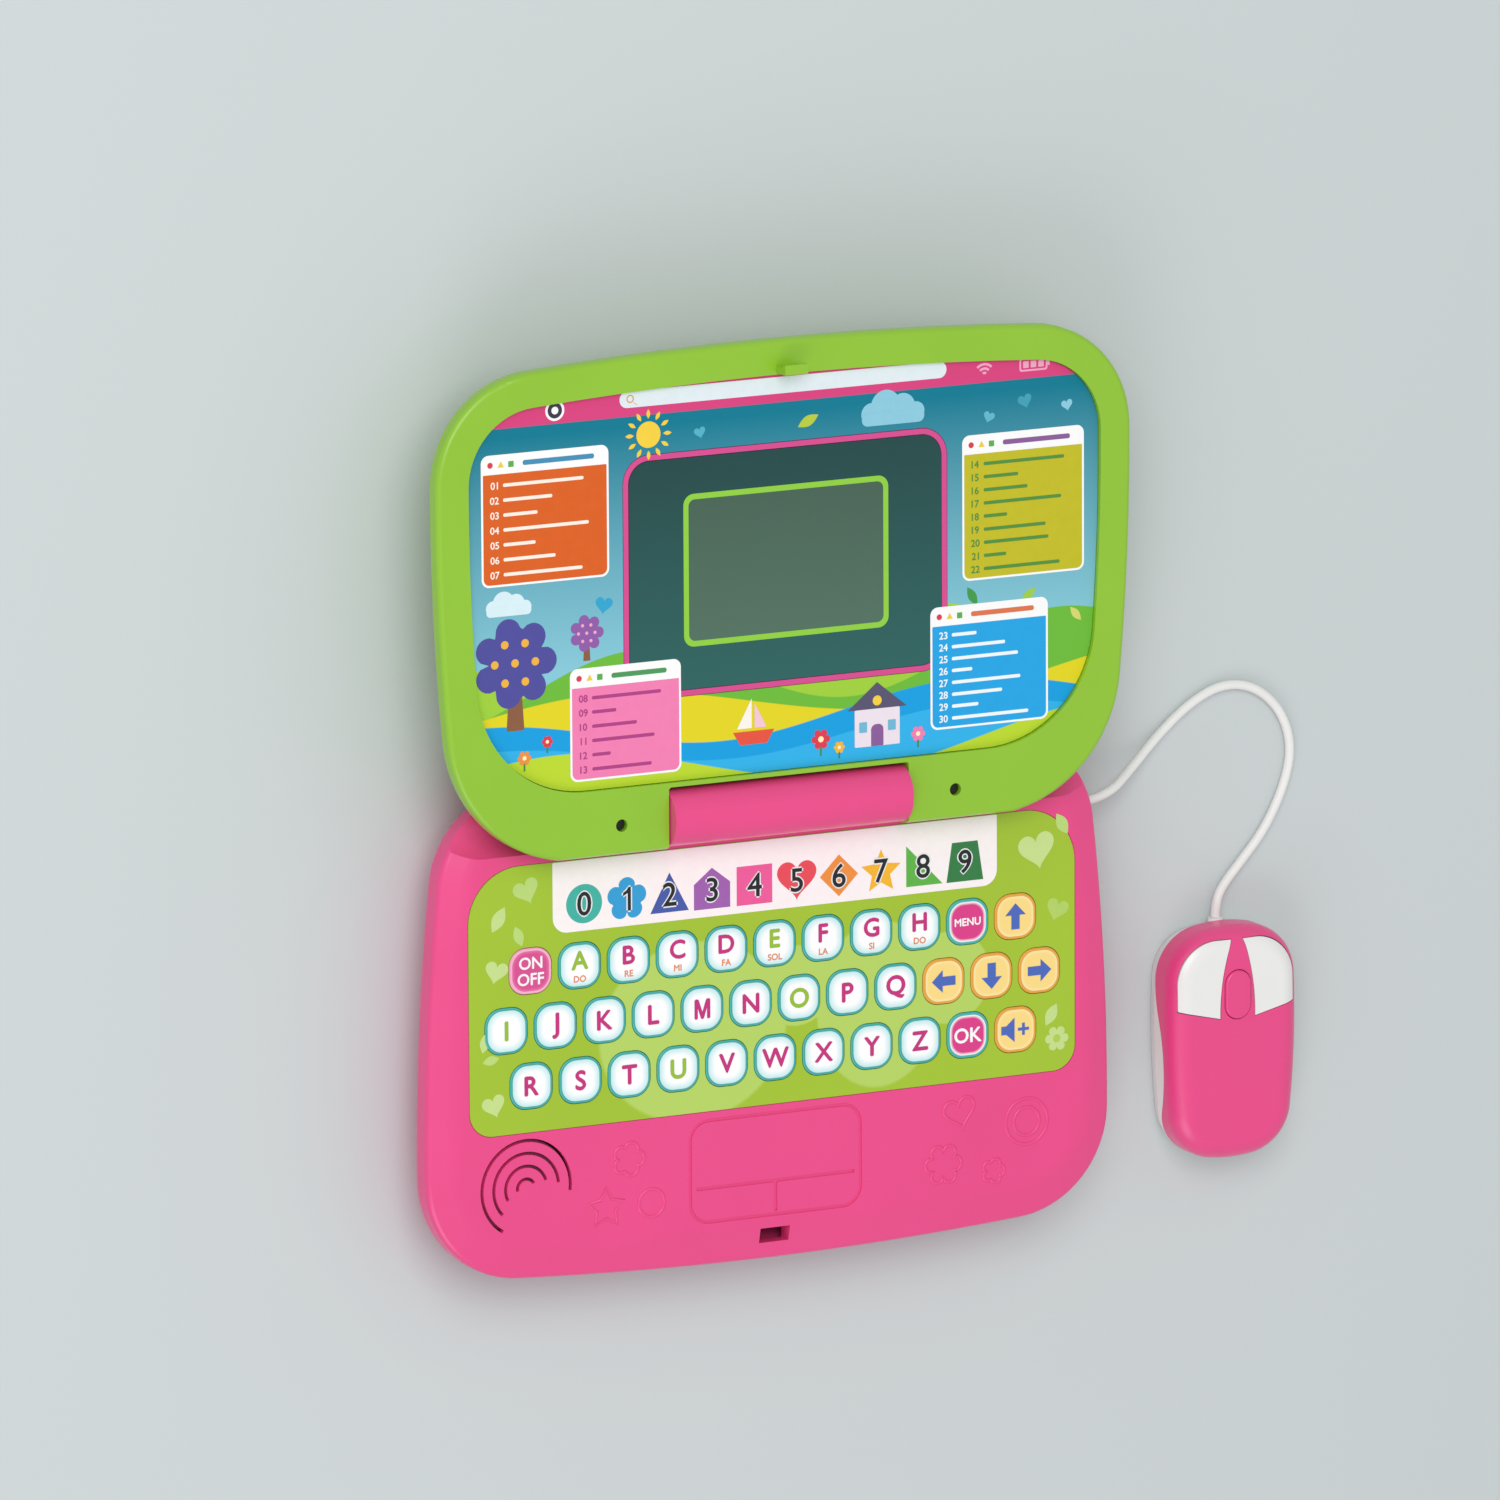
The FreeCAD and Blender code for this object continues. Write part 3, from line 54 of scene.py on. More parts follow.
def linear(code, share=1.0):
    """sRGB hex code as linear RGBA by the sRGB curve, each channel times a share."""
    part = np.array([int(code[k:k + 2], 16) for k in (0, 2, 4)]) / 255
    light = np.where(part <= 0.04045, part / 12.92, ((part + 0.055) / 1.055) ** 2.4)
    return (*np.clip(light * share, 0, 1).tolist(), 1.0)


def new_material(name):
    material = bpy.data.materials.new(name)
    material.use_nodes = True
    material.node_tree.nodes.clear()
    return material


def add_node(material, kind, settings=(), inputs=()):
    """Adds a shader node. Settings are its properties.
    Inputs are values or sockets to link, by name or number."""
    tree = material.node_tree
    made = tree.nodes.new("ShaderNode" + kind)
    for name, value in dict(settings).items():
        setattr(made, name, value)
    for name, value in dict(inputs).items():
        if isinstance(value, bpy.types.NodeSocket):
            tree.links.new(value, made.inputs[name])
        else:
            made.inputs[name].default_value = value
    return made


def close_material(material, inputs):
    """Ends a material in one Principled shader with the given inputs."""
    shader = add_node(material, "BsdfPrincipled", {}, inputs)
    add_node(material, "OutputMaterial", {}, {"Surface": shader.outputs["BSDF"]})
    return material


# A mix node's two colours and its result share their names with other sockets, so they go by number.
FIRST_COLOUR = 6
SECOND_COLOUR = 7
MIXED_COLOUR = 2


def moulded_abs(name, code, roughness=0.34):
    """Moulded ABS: broad flow marks shift the colour by a few percent and the gloss a little.
    The mould's grain, really about 0.1 mm, is drawn 0.9 mm wide so that it shows."""
    flow_width = 35 * MM
    grain_width = 0.9 * MM
    material = new_material(name)
    place = add_node(material, "TexCoord").outputs["Object"]
    flow = add_node(material, "TexNoise", {}, {"Vector": place, "Scale": 1 / flow_width, "Detail": 2.0})
    grain = add_node(material, "TexNoise", {}, {"Vector": place, "Scale": 1 / grain_width, "Detail": 2.0})
    colour = add_node(material, "Mix", {"data_type": "RGBA"}, {
        "Factor": flow.outputs["Fac"],
        FIRST_COLOUR: linear(code, 0.94),
        SECOND_COLOUR: linear(code, 1.04)})
    gloss = add_node(material, "MapRange", {}, {
        "Value": flow.outputs["Fac"], "To Min": roughness - 0.05, "To Max": roughness + 0.06})
    bump = add_node(material, "Bump", {}, {
        "Height": grain.outputs["Fac"], "Strength": 0.12, "Distance": 0.08 * MM})
    return close_material(material, {
        "Base Color": colour.outputs[MIXED_COLOUR], "Roughness": gloss.outputs["Result"], "IOR": 1.53,
        "Normal": bump.outputs["Normal"], "Coat Weight": 0.15, "Coat Roughness": 0.2})


def paint(material, *names):
    """Gives the construction model's pieces of these names one material."""
    for name in names:
        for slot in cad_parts[name].material_slots:
            slot.material = material


pink_abs = moulded_abs("pink_abs_satin", PINK)
paint(pink_abs, "base_top_shell", "base_bottom_shell", "battery_cover")


# Inside the base: speaker, circuit board, rubber contact sheet and three cells with their spring plates.
# Only the speaker's dark cone shows, through the sound slots. The screws and hinge pins are zinc plated.

def plain_stock(name, code, roughness, spot, contrast, metallic=0.0):
    """Stock material with a mottled surface.
    Its patches are a spot wide, in mm, and lighter or darker by a contrast."""
    material = new_material(name)
    place = add_node(material, "TexCoord").outputs["Object"]
    patch = add_node(material, "TexNoise", {}, {"Vector": place, "Scale": 1 / (spot * MM), "Detail": 3.0})
    colour = add_node(material, "Mix", {"data_type": "RGBA"}, {
        "Factor": patch.outputs["Fac"],
        FIRST_COLOUR: linear(code, 1 - contrast),
        SECOND_COLOUR: linear(code, 1 + contrast)})
    gloss = add_node(material, "MapRange", {}, {
        "Value": patch.outputs["Fac"], "To Min": roughness - 0.08, "To Max": roughness + 0.08})
    bump = add_node(material, "Bump", {}, {
        "Height": patch.outputs["Fac"], "Strength": 0.1, "Distance": 0.1 * MM})
    return close_material(material, {
        "Base Color": colour.outputs[MIXED_COLOUR], "Metallic": metallic,
        "Roughness": gloss.outputs["Result"], "Normal": bump.outputs["Normal"]})


speaker_cone = plain_stock("speaker_cone_dark_rose", "7d2f56", roughness=0.6, spot=2.0, contrast=0.2)
epoxy_board = plain_stock("epoxy_board_green", "1f6b3a", roughness=0.45, spot=3.0, contrast=0.15)
contact_rubber = plain_stock("silicone_rubber_grey", "a8a6a2", roughness=0.7, spot=4.0, contrast=0.05)
cell_sleeve = plain_stock("cell_sleeve_black", "2b2b2f", roughness=0.35, spot=6.0, contrast=0.1)
zinc_steel = plain_stock("zinc_plated_steel", "b9b7b0", roughness=0.36, spot=1.2, contrast=0.12, metallic=1.0)
dark_steel = plain_stock("blackened_steel_screw", "3a3d36", roughness=0.42, spot=1.2, contrast=0.15,
                         metallic=1.0)
paint(speaker_cone, "speaker")
paint(epoxy_board, "main_board", "mouse_board")
paint(contact_rubber, "key_membrane")
paint(cell_sleeve, "battery_cells")
paint(zinc_steel, "battery_contacts", "base_screws", "hinge_pins")
paint(dark_steel, "lid_screws")


# Keyboard film: clear polycarbonate printed from behind in lime green, with pale round patches.
# It lies in a shallow recess of the upper half, and has a window for each key.

FILM_GREEN = "a2c324"
PATCH_GREEN = "b5d45f"
# Middle, half width and half height of each patch.
FILM_PATCHES = [(-29, -4, 33, 29), (37, -2, 22, 27), (8, 7, 13, 13), (62, 4, 15, 15)]

film = new_material("polycarbonate_film_lime")
film_place = add_node(film, "TexCoord").outputs["Object"]
film_cloud = add_node(film, "TexNoise", {}, {"Vector": film_place, "Scale": 1 / (60 * MM), "Detail": 1.0})
film_colour = add_node(film, "Mix", {"data_type": "RGBA"}, {
    "Factor": film_cloud.outputs["Fac"],
    FIRST_COLOUR: linear(FILM_GREEN, 0.93),
    SECOND_COLOUR: linear(FILM_GREEN, 1.06)})
for x, y, half_width, half_height in FILM_PATCHES:
    shifted = add_node(film, "VectorMath", {"operation": "SUBTRACT"}, {0: film_place, 1: (x * MM, y * MM, 0)})
    scaled = add_node(film, "VectorMath", {"operation": "MULTIPLY"}, {
        0: shifted.outputs[0], 1: (1 / (half_width * MM), 1 / (half_height * MM), 0)})
    reach = add_node(film, "VectorMath", {"operation": "LENGTH"}, {0: scaled.outputs[0]})
    inside = add_node(film, "MapRange", {}, {
        "Value": reach.outputs["Value"], "From Min": 1.02, "From Max": 0.98})
    film_colour = add_node(film, "Mix", {"data_type": "RGBA"}, {
        "Factor": inside.outputs["Result"],
        FIRST_COLOUR: film_colour.outputs[MIXED_COLOUR],
        SECOND_COLOUR: linear(PATCH_GREEN)})
film_skin = add_node(film, "TexNoise", {}, {"Vector": film_place, "Scale": 1 / (0.8 * MM), "Detail": 2.0})
film_bump = add_node(film, "Bump", {}, {
    "Height": film_skin.outputs["Fac"], "Strength": 0.08, "Distance": 0.05 * MM})
close_material(film, {
    "Base Color": film_colour.outputs[MIXED_COLOUR], "Roughness": 0.3, "IOR": 1.58,
    "Normal": film_bump.outputs["Normal"], "Coat Weight": 0.06, "Coat Roughness": 0.12})
paint(film, "keyboard_overlay")


# Prints on the film: a white number strip with ten coloured shapes, and pale hearts and leaves beside it.
# They are screen printed; each ink is laid a hair above the one before it.

LAYER = 0.025
inks = {}


def ink(code):
    """Screen-printing ink: flat colour with a slightly uneven lay, a few percent over spots 3 mm wide."""
    if code not in inks:
        material = new_material("screen_ink_" + code)
        place = add_node(material, "TexCoord").outputs["Object"]
        lay = add_node(material, "TexNoise", {}, {"Vector": place, "Scale": 1 / (3 * MM), "Detail": 2.0})
        colour = add_node(material, "Mix", {"data_type": "RGBA"}, {
            "Factor": lay.outputs["Fac"],
            FIRST_COLOUR: linear(code, 0.95),
            SECOND_COLOUR: linear(code, 1.03)})
        inks[code] = close_material(material, {
            "Base Color": colour.outputs[MIXED_COLOUR], "Roughness": 0.32, "IOR": 1.45,
            "Coat Weight": 0.06, "Coat Roughness": 0.15})
    return inks[code]


def rounded_box(x0, y0, x1, y1, low, high=None, steps=9):
    """Outline of an upright rectangle with quarter circles at its corners.
    The lower two have the radius low, the upper two the radius high."""
    high = low if high is None else high
    quarter = np.linspace(0, np.pi / 2, steps)
    rows = []
    for x, y, radius, start in ((x1 - high, y1 - high, high, 0), (x0 + high, y1 - high, high, 1),
                                (x0 + low, y0 + low, low, 2), (x1 - low, y0 + low, low, 3)):
        angle = quarter + start * np.pi / 2
        rows.append(np.stack([x + radius * np.cos(angle), y + radius * np.sin(angle)], 1))
    return np.concatenate(rows)


def radial(x, y, reach, turn=0.0, steps=72):
    """Outline round a centre whose radius is a function of the angle."""
    angle = np.linspace(0, 2 * np.pi, steps, endpoint=False)
    radius = reach(angle) * np.ones(steps)
    angle = angle + np.radians(turn)
    return np.stack([x + radius * np.cos(angle), y + radius * np.sin(angle)], 1)


def disc(x, y, radius):
    return radial(x, y, lambda angle: radius)


def flower(x, y, radius, petals, turn=0.0):
    """Round petals with a crease between them: the radius grows with the root of a cosine in each petal."""
    def reach(angle):
        return radius * (0.62 + 0.38 * np.sqrt(np.abs(np.cos(petals * angle / 2))))
    return radial(x, y, reach, turn)


def corners(x, y, points):
    return np.array(points, float) + (x, y)


def turned(points, degrees):
    """Points turned about the origin."""
    lean = np.radians(degrees)
    return points @ np.array([[np.cos(lean), np.sin(lean)], [-np.sin(lean), np.cos(lean)]])


def star(x, y, outer, inner, turn=90.0, rays=5):
    """Rays of an outer radius between hollows of an inner radius."""
    angle = np.radians(turn) + np.arange(2 * rays) * np.pi / rays
    radius = np.where(np.arange(2 * rays) % 2 == 0, outer, inner)
    return np.stack([x + radius * np.cos(angle), y + radius * np.sin(angle)], 1)


def heart(x, y, width, turn=0.0):
    """Heart curve: sine cubed across, and a sum of four cosines upwards; it is 32 wide before scaling."""
    t = np.linspace(0, 2 * np.pi, 48, endpoint=False)
    across = 16 * np.sin(t) ** 3
    up = 13 * np.cos(t) - 5 * np.cos(2 * t) - 2 * np.cos(3 * t) - np.cos(4 * t) + 2
    return (x, y) + turned(np.stack([across, up], 1), turn) * width / 32


def leaf(x, y, length, width, turn):
    """Leaf: two half sine waves that meet in a point at both ends."""
    t = np.linspace(0, 1, 18)
    upper = np.stack([(t - 0.5) * length, width / 2 * np.sin(np.pi * t)], 1)
    lower = upper[-2:0:-1] * (1, -1)
    return (x, y) + turned(np.concatenate([upper, lower]), turn)


def shape(outline, code, layer):
    """One printed area: its points anticlockwise, one face, its ink and its layer."""
    x, y = outline[:, 0], outline[:, 1]
    area = np.sum(x * np.roll(y, -1) - y * np.roll(x, -1))
    ordered = outline if area > 0 else outline[::-1]
    return ordered, [list(range(len(ordered)))], ink(code), layer


def band(outer, inner, code, layer):
    """Printed line between two outlines with as many points each, as a ring of four-sided faces."""
    count = len(outer)
    step = np.arange(count)
    after = (step + 1) % count
    faces = np.stack([step, after, after + count, step + count], 1)
    return np.concatenate([outer, inner]), faces.tolist(), ink(code), layer


# Cap height of the built-in letters at size 1, and two characters drawn here at cap height 1.
CAP_HEIGHT = 0.69
OWN_LETTERS = {
    "1": [(0.25, 0), (0.37, 0), (0.37, 1), (0.28, 1), (0.2, 0.88), (0.03, 0.77), (0.03, 0.66), (0.25, 0.78)],
    "M": [(0, 0), (0.115, 0), (0.115, 0.8), (0.375, 0), (0.475, 0), (0.735, 0.8), (0.735, 0),
          (0.85, 0), (0.85, 1), (0.68, 1), (0.425, 0.22), (0.17, 1), (0, 1)],
}


def lettering(text, height, x, y, code, layer, weight=0.0):
    """Letters of a cap height in mm, centred on a point, made a flat mesh; a lone 1 or M has its own outline.
    A weight in mm thickens the strokes with four more copies, each moved by it and laid a little higher."""
    if text in OWN_LETTERS:
        points = np.array(OWN_LETTERS[text]) * CAP_HEIGHT
        faces = [list(range(len(points)))]
    else:
        curve = bpy.data.curves.new("letters", "FONT")
        curve.body = text
        curve.align_x = "CENTER"
        curve.size = 1.0
        curve.resolution_u = 4
        writer = bpy.data.objects.new("letters", curve)
        mesh = bpy.data.meshes.new_from_object(writer)
        points = np.empty(3 * len(mesh.vertices))
        mesh.vertices.foreach_get("co", points)
        points = points.reshape(-1, 3)[:, :2]
        faces = [list(face.vertices) for face in mesh.polygons]
        bpy.data.objects.remove(writer)
        bpy.data.meshes.remove(mesh)
        bpy.data.curves.remove(curve)
    low, high = points.min(0), points.max(0)
    points = (points - (low + high) / 2) * height / CAP_HEIGHT + (x, y)
    moves = [(0, 0), (weight, 0), (-weight, 0), (0, weight), (0, -weight)] if weight else [(0, 0)]
    count = len(points)
    copies = np.concatenate([points + move for move in moves])
    layers = layer + 0.2 * np.repeat(np.arange(len(moves)), count)
    all_faces = [[corner + k * count for corner in face] for k in range(len(moves)) for face in faces]
    return copies, all_faces, ink(code), layers


def lay_print(name, body, height, items):
    """Joins printed areas into one mesh above a surface of a given height, with a slot for each ink."""
    piece_points, faces, palette, index = [], [], [], []
    count = 0
    for points, loops, material, layer in items:
        level = height + layer * LAYER * np.ones(len(points))
        piece_points.append(np.column_stack([points, level]))
        faces += [[corner + count for corner in loop] for loop in loops]
        if material not in palette:
            palette.append(material)
        index += [palette.index(material)] * len(loops)
        count += len(points)
    mesh = bpy.data.meshes.new(name)
    mesh.from_pydata((np.concatenate(piece_points) * MM).tolist(), [], faces)
    for material in palette:
        mesh.materials.append(material)
    mesh.polygons.foreach_set("material_index", index)
    mesh.update()
    piece = bpy.data.objects.new(name, mesh)
    bpy.context.scene.collection.objects.link(piece)
    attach(piece, body)
    return piece


FILM_TOP = 28.0
DIGIT_Y = 41.2
DIGIT_X = np.linspace(-67, 68, 10)
DIGIT_HEIGHT = 7.4
DIGIT_WEIGHT = 0.12
HALO_WEIGHT = 0.56
SECOND_COAT = 0.8
# Outline and colour of the shape behind each digit, from 0 to 9.
DIGIT_SHAPES = [
    (disc(0, 0, 6.3), "3fb3a5"),
    (flower(0, 0, 7.0, 5, 90), "2f9fd8"),
    (corners(0, 0, [(-6.8, -5.8), (6.8, -5.8), (0, 7)]), "4458a8"),
    (corners(0, 0, [(-6.4, -6.2), (6.4, -6.2), (6.4, 2), (0, 7), (-6.4, 2)]), "a05fb0"),
    (corners(0, 0, [(-6.3, -6.3), (6.3, -6.3), (6.3, 6.3), (-6.3, 6.3)]), "ee5b9c"),
    (heart(0, 0, 14), "ea4a58"),
    (corners(0, 0, [(-6.8, 0), (0, -6.8), (6.8, 0), (0, 6.8)]), "f0923c"),
    (star(0, -0.4, 7.4, 3.4), "f7b928"),
    (corners(0, 0, [(-6, -6.3), (7, -6.3), (-6, 7)]), "5db544"),
    (corners(0, 0, [(-6.6, -6.4), (6.6, -6.4), (4.6, 6.4), (-4.6, 6.4)]), "2f7d43"),
]
# Place, width, turn and colour of each heart; place, length, turn and colour of each leaf.
FILM_HEARTS = [
    (-87, 47, 9, 20, "bcd97a"), (-98, 22, 8, -15, "c6df8c"), (-99, -21, 8, 15, "c6df8c"),
    (94, 42, 13, 10, "c9e08f"), (101, 22, 8, -20, "b4d465"),
]
FILM_LEAVES = [
    (-97, 39, 9, 60, "c6df8c"), (-90, 33, 7, 110, "bcd97a"), (-102, 0, 7, 75, "c6df8c"),
    (103, 50, 8, 120, "bcd97a"), (99, -12, 8, 60, "c6df8c"), (-100, -6, 6, 10, "bcd97a"),
]

film_print = [shape(rounded_box(-78, 32.5, 79.5, 55.3, 5, 0.3), "fff4f5", 1)]
for digit, (x, (outline, code)) in enumerate(zip(DIGIT_X, DIGIT_SHAPES)):
    film_print.append(shape(outline + (x, DIGIT_Y), code, 2))
    film_print.append(shape(outline * SECOND_COAT + (x, DIGIT_Y), code, 3))
    film_print.append(lettering(str(digit), DIGIT_HEIGHT, x, DIGIT_Y, "eef2f4", 4, HALO_WEIGHT))
    film_print.append(lettering(str(digit), DIGIT_HEIGHT, x, DIGIT_Y, "1d1b1f", 6, DIGIT_WEIGHT))
for x, y, width, turn, code in FILM_HEARTS:
    film_print.append(shape(heart(x, y, width, turn), code, 1))
for x, y, length, turn, code in FILM_LEAVES:
    film_print.append(shape(leaf(x, y, length, length * 0.5, turn), code, 1))
film_print.append(shape(flower(101, -20, 4.2, 6), "c6df8c", 1))
film_print.append(shape(disc(101, -20, 1.3), "aed04f", 2))
lay_print("number_strip_print", "base", FILM_TOP, film_print)


# Keys: thin printed domes that stand a little proud of the film.
# They are white for letters, yellow and magenta for the rest, and shade from the middle to a coloured rim.
# A key's legend is printed on top and moves with it.

KEY_TOP = 28.3
KEY_HALF = 7.0
KEY_ROUND = 5.2
LEGEND_LAYER = 3
VOWELS = "aeiou"
NOTES = dict(zip("abcdefgh", ["DO", "RE", "MI", "FA", "SOL", "LA", "SI", "DO"]))
ARROW_TURNS = {"right": 0, "up": 90, "left": 180, "down": 270}
BLUE = "4a68bd"
TEAL = "41b3ad"
AMBER = "e9a53a"


def key_finish(name, rim, glow, middle, field=0.78, edge=0.935):
    """Printed dome: by the share of the way out, the middle colour fills the field, then turns to a glow,
    and the rim begins at the edge."""
    material = new_material(name)
    share = add_node(material, "Attribute", {"attribute_name": "way_out"})
    ramp = add_node(material, "ValToRGB", {}, {"Fac": share.outputs["Fac"]})
    stops = ramp.color_ramp.elements
    for place, code in ((0.5, middle), (field, middle), (edge - 0.02, glow), (edge, rim)):
        stop = stops.new(place)
        stop.color = linear(code)
    stops.remove(stops[0])
    stops.remove(stops[-1])
    return close_material(material, {
        "Base Color": ramp.outputs["Color"], "Roughness": 0.28, "IOR": 1.58,
        "Coat Weight": 0.25, "Coat Roughness": 0.1})


white_key = key_finish("printed_dome_white", "3aa39b", "c2ebee", "ffffff", field=0.62, edge=0.95)
yellow_key = key_finish("printed_dome_yellow", AMBER, "fbe9ae", "fddc84")
pink_key = key_finish("printed_dome_rose", "f6b3cc", "e86aa4", "d9488f")
ringed_key = key_finish("printed_dome_magenta", TEAL, "ffffff", "dd2f86")
rims = {
    "teal": moulded_abs("dome_edge_teal", TEAL),
    "amber": moulded_abs("dome_edge_amber", AMBER),
    "rose": moulded_abs("dome_edge_rose", "f2a3c1"),
}


def key_face(x, y, material):
    """Rounded square as rings from the middle to the rim; the share of the way out goes with each point."""
    rim = rounded_box(-KEY_HALF, -KEY_HALF, KEY_HALF, KEY_HALF, KEY_ROUND)
    shares = np.array([0.25, 0.5, 0.7, 0.8, 0.86, 0.9, 0.93, 1.0])
    count = len(rim)
    points = (shares[:, None, None] * rim[None]).reshape(-1, 2) + (x, y)
    way_out = np.repeat(shares, count)
    step = np.arange(count)
    after = (step + 1) % count
    rings = []
    for inner in range(0, (len(shares) - 1) * count, count):
        outer = inner + count
        rings.append(np.stack([step + inner, step + outer, after + outer, after + inner], 1))
    faces = [list(range(count))] + np.concatenate(rings).tolist()
    return (points, faces, material, 1), way_out


def arrow(x, y, turn):
    """Block arrow that points along its turn."""
    tip = [(4.3, 0), (0.4, 3.7), (0.4, 1.5)]
    shaft = [(-4.2, 1.5), (-4.2, -1.5), (0.4, -1.5), (0.4, -3.7)]
    return turned(np.array(tip + shaft), turn) + (x, y)


def key_legend(label, x, y):
    """What is printed on a key: its face finish, its rim and its letters or sign."""
    if len(label) == 1:
        code = "97bf35" if label in VOWELS else "c62c7e"
        if label in NOTES:
            return white_key, "teal", [
                lettering(label.upper(), 5.7, x, y + 1.7, code, LEGEND_LAYER, 0.24),
                lettering(NOTES[label], 2.0, x, y - 4.3, "e58a5e", LEGEND_LAYER, 0.07)]
        return white_key, "teal", [lettering(label.upper(), 6.0, x, y, code, LEGEND_LAYER, 0.25)]
    if label in ARROW_TURNS:
        return yellow_key, "amber", [shape(arrow(x, y, ARROW_TURNS[label]), BLUE, LEGEND_LAYER)]
    if label == "volume":
        horn = corners(x - 1.6, y, [
            (-3.6, -1.4), (-1.8, -1.4), (1.2, -4), (1.2, 4), (-1.8, 1.4), (-3.6, 1.4)])
        plus = corners(x + 2.8, y, [
            (-0.5, -2), (0.5, -2), (0.5, -0.5), (2, -0.5), (2, 0.5), (0.5, 0.5),
            (0.5, 2), (-0.5, 2), (-0.5, 0.5), (-2, 0.5), (-2, -0.5), (-0.5, -0.5)])
        return yellow_key, "amber", [shape(horn, BLUE, LEGEND_LAYER), shape(plus, BLUE, LEGEND_LAYER)]
    if label == "on_off":
        return pink_key, "rose", [
            lettering("ON", 3.7, x, y + 2.6, "fdf4f8", LEGEND_LAYER, 0.12),
            lettering("OFF", 3.7, x, y - 2.6, "fdf4f8", LEGEND_LAYER, 0.12)]
    height, weight = (4.6, 0.15) if label == "ok" else (2.4, 0.1)
    return ringed_key, "teal", [lettering(label.upper(), height, x, y, "ffffff", LEGEND_LAYER, weight)]


for name in sorted(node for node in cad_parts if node.startswith("key_") and node != "key_membrane"):
    low, high = np.array(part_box(name)) / MM
    x, y = (low[:2] + high[:2]) / 2
    face_finish, rim, legend = key_legend(name[len("key_"):], x, y)
    face, way_out = key_face(x, y, face_finish)
    paint(rims[rim], name)
    piece = lay_print("print_" + name, name, KEY_TOP, [face] + legend)
    shares = piece.data.attributes.new("way_out", "FLOAT", "POINT")
    values = np.zeros(len(piece.data.vertices), np.float32)
    values[:len(way_out)] = way_out
    shares.data.foreach_set("value", values)


# Palm rest: faint outlines of simple shapes stand up from the moulded surface beside the touch pad.
# Each is a low round ridge, moulded in one with the casing.

DECK = 27.97
RIDGE_WIDTH = 1.1
RIDGE_HEIGHT = 0.42


def ridge(outline, width, height, level, steps=7):
    """Half round ridge carried along a closed outline: the section is a half ellipse square to the path."""
    ahead = np.roll(outline, -1, 0) - np.roll(outline, 1, 0)
    ahead /= np.linalg.norm(ahead, axis=1, keepdims=True)
    side = np.stack([-ahead[:, 1], ahead[:, 0]], 1)
    t = np.linspace(0, np.pi, steps)
    across = -np.cos(t) * width / 2
    flat = outline[:, None] + side[:, None] * across[None, :, None]
    lift = np.broadcast_to(level + np.sin(t) * height, flat.shape[:2])
    points = np.concatenate([flat, lift[..., None]], 2).reshape(-1, 3)
    i, j = np.meshgrid(np.arange(len(outline)), np.arange(steps - 1), indexing="ij")
    after = (i + 1) % len(outline)
    faces = np.stack([i * steps + j, after * steps + j, after * steps + j + 1, i * steps + j + 1], 2)
    return points, faces.reshape(-1, 4)


def smooth_piece(name, parts, material, body):
    """Joins point and face arrays into one smooth shaded piece on a body."""
    count = 0
    points, faces = [], []
    for part_points, part_faces in parts:
        points.append(part_points)
        faces.append(part_faces + count)
        count += len(part_points)
    mesh = bpy.data.meshes.new(name)
    mesh.from_pydata((np.concatenate(points) * MM).tolist(), [], np.concatenate(faces).tolist())
    mesh.materials.append(material)
    mesh.shade_smooth()
    piece = bpy.data.objects.new(name, mesh)
    bpy.context.scene.collection.objects.link(piece)
    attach(piece, body)


palm_outlines = [
    disc(90, -46, 7.5), disc(90, -46, 4.6), flower(60, -57, 6.5, 6), heart(66, -41, 11, 12),
    flower(-52, -43, 5.5, 5), star(-60, -58, 6.5, 3.4), disc(-44, -58, 4.5), flower(78, -61, 4, 5),
]
palm_ridges = [ridge(outline, RIDGE_WIDTH, RIDGE_HEIGHT, DECK) for outline in palm_outlines]
smooth_piece("palm_rest_ridges", palm_ridges, pink_abs, "base")


# Lid casing: front frame and back half in lime green ABS, moulded, snapped together and held by two screws.
# The pink screen bezel is a separate ring.

green_abs = moulded_abs("lime_abs_satin", "8fc42b")
paint(green_abs, "lid_front_frame", "lid_back_shell")
paint(moulded_abs("bezel_abs_magenta", "d8468f", 0.25), "screen_bezel")


# Picture panel: a card sheet printed with a plain landscape under a magenta title bar.
# Sky, hills, stream and bar are areas below or above a wave across the sheet; the print is matt.

SKY_LOW = 118
SKY_HIGH = 194
BAR_EDGE = 197.2
# Colour, level, swell, wave length and start of each area of land, from the back to the front.
LAND = [
    ("9fcf3c", 121, 9, 190, -12),
    ("6dbb3a", 112, 11, 150, 60),
    ("e3d51f", 103, 7, 210, -118),
    ("0d9fe0", 97, 6, 170, 20),
    ("2fb2ea", 90, 5, 170, 24),
    ("bcd92f", 84, 8, 200, 70),
]

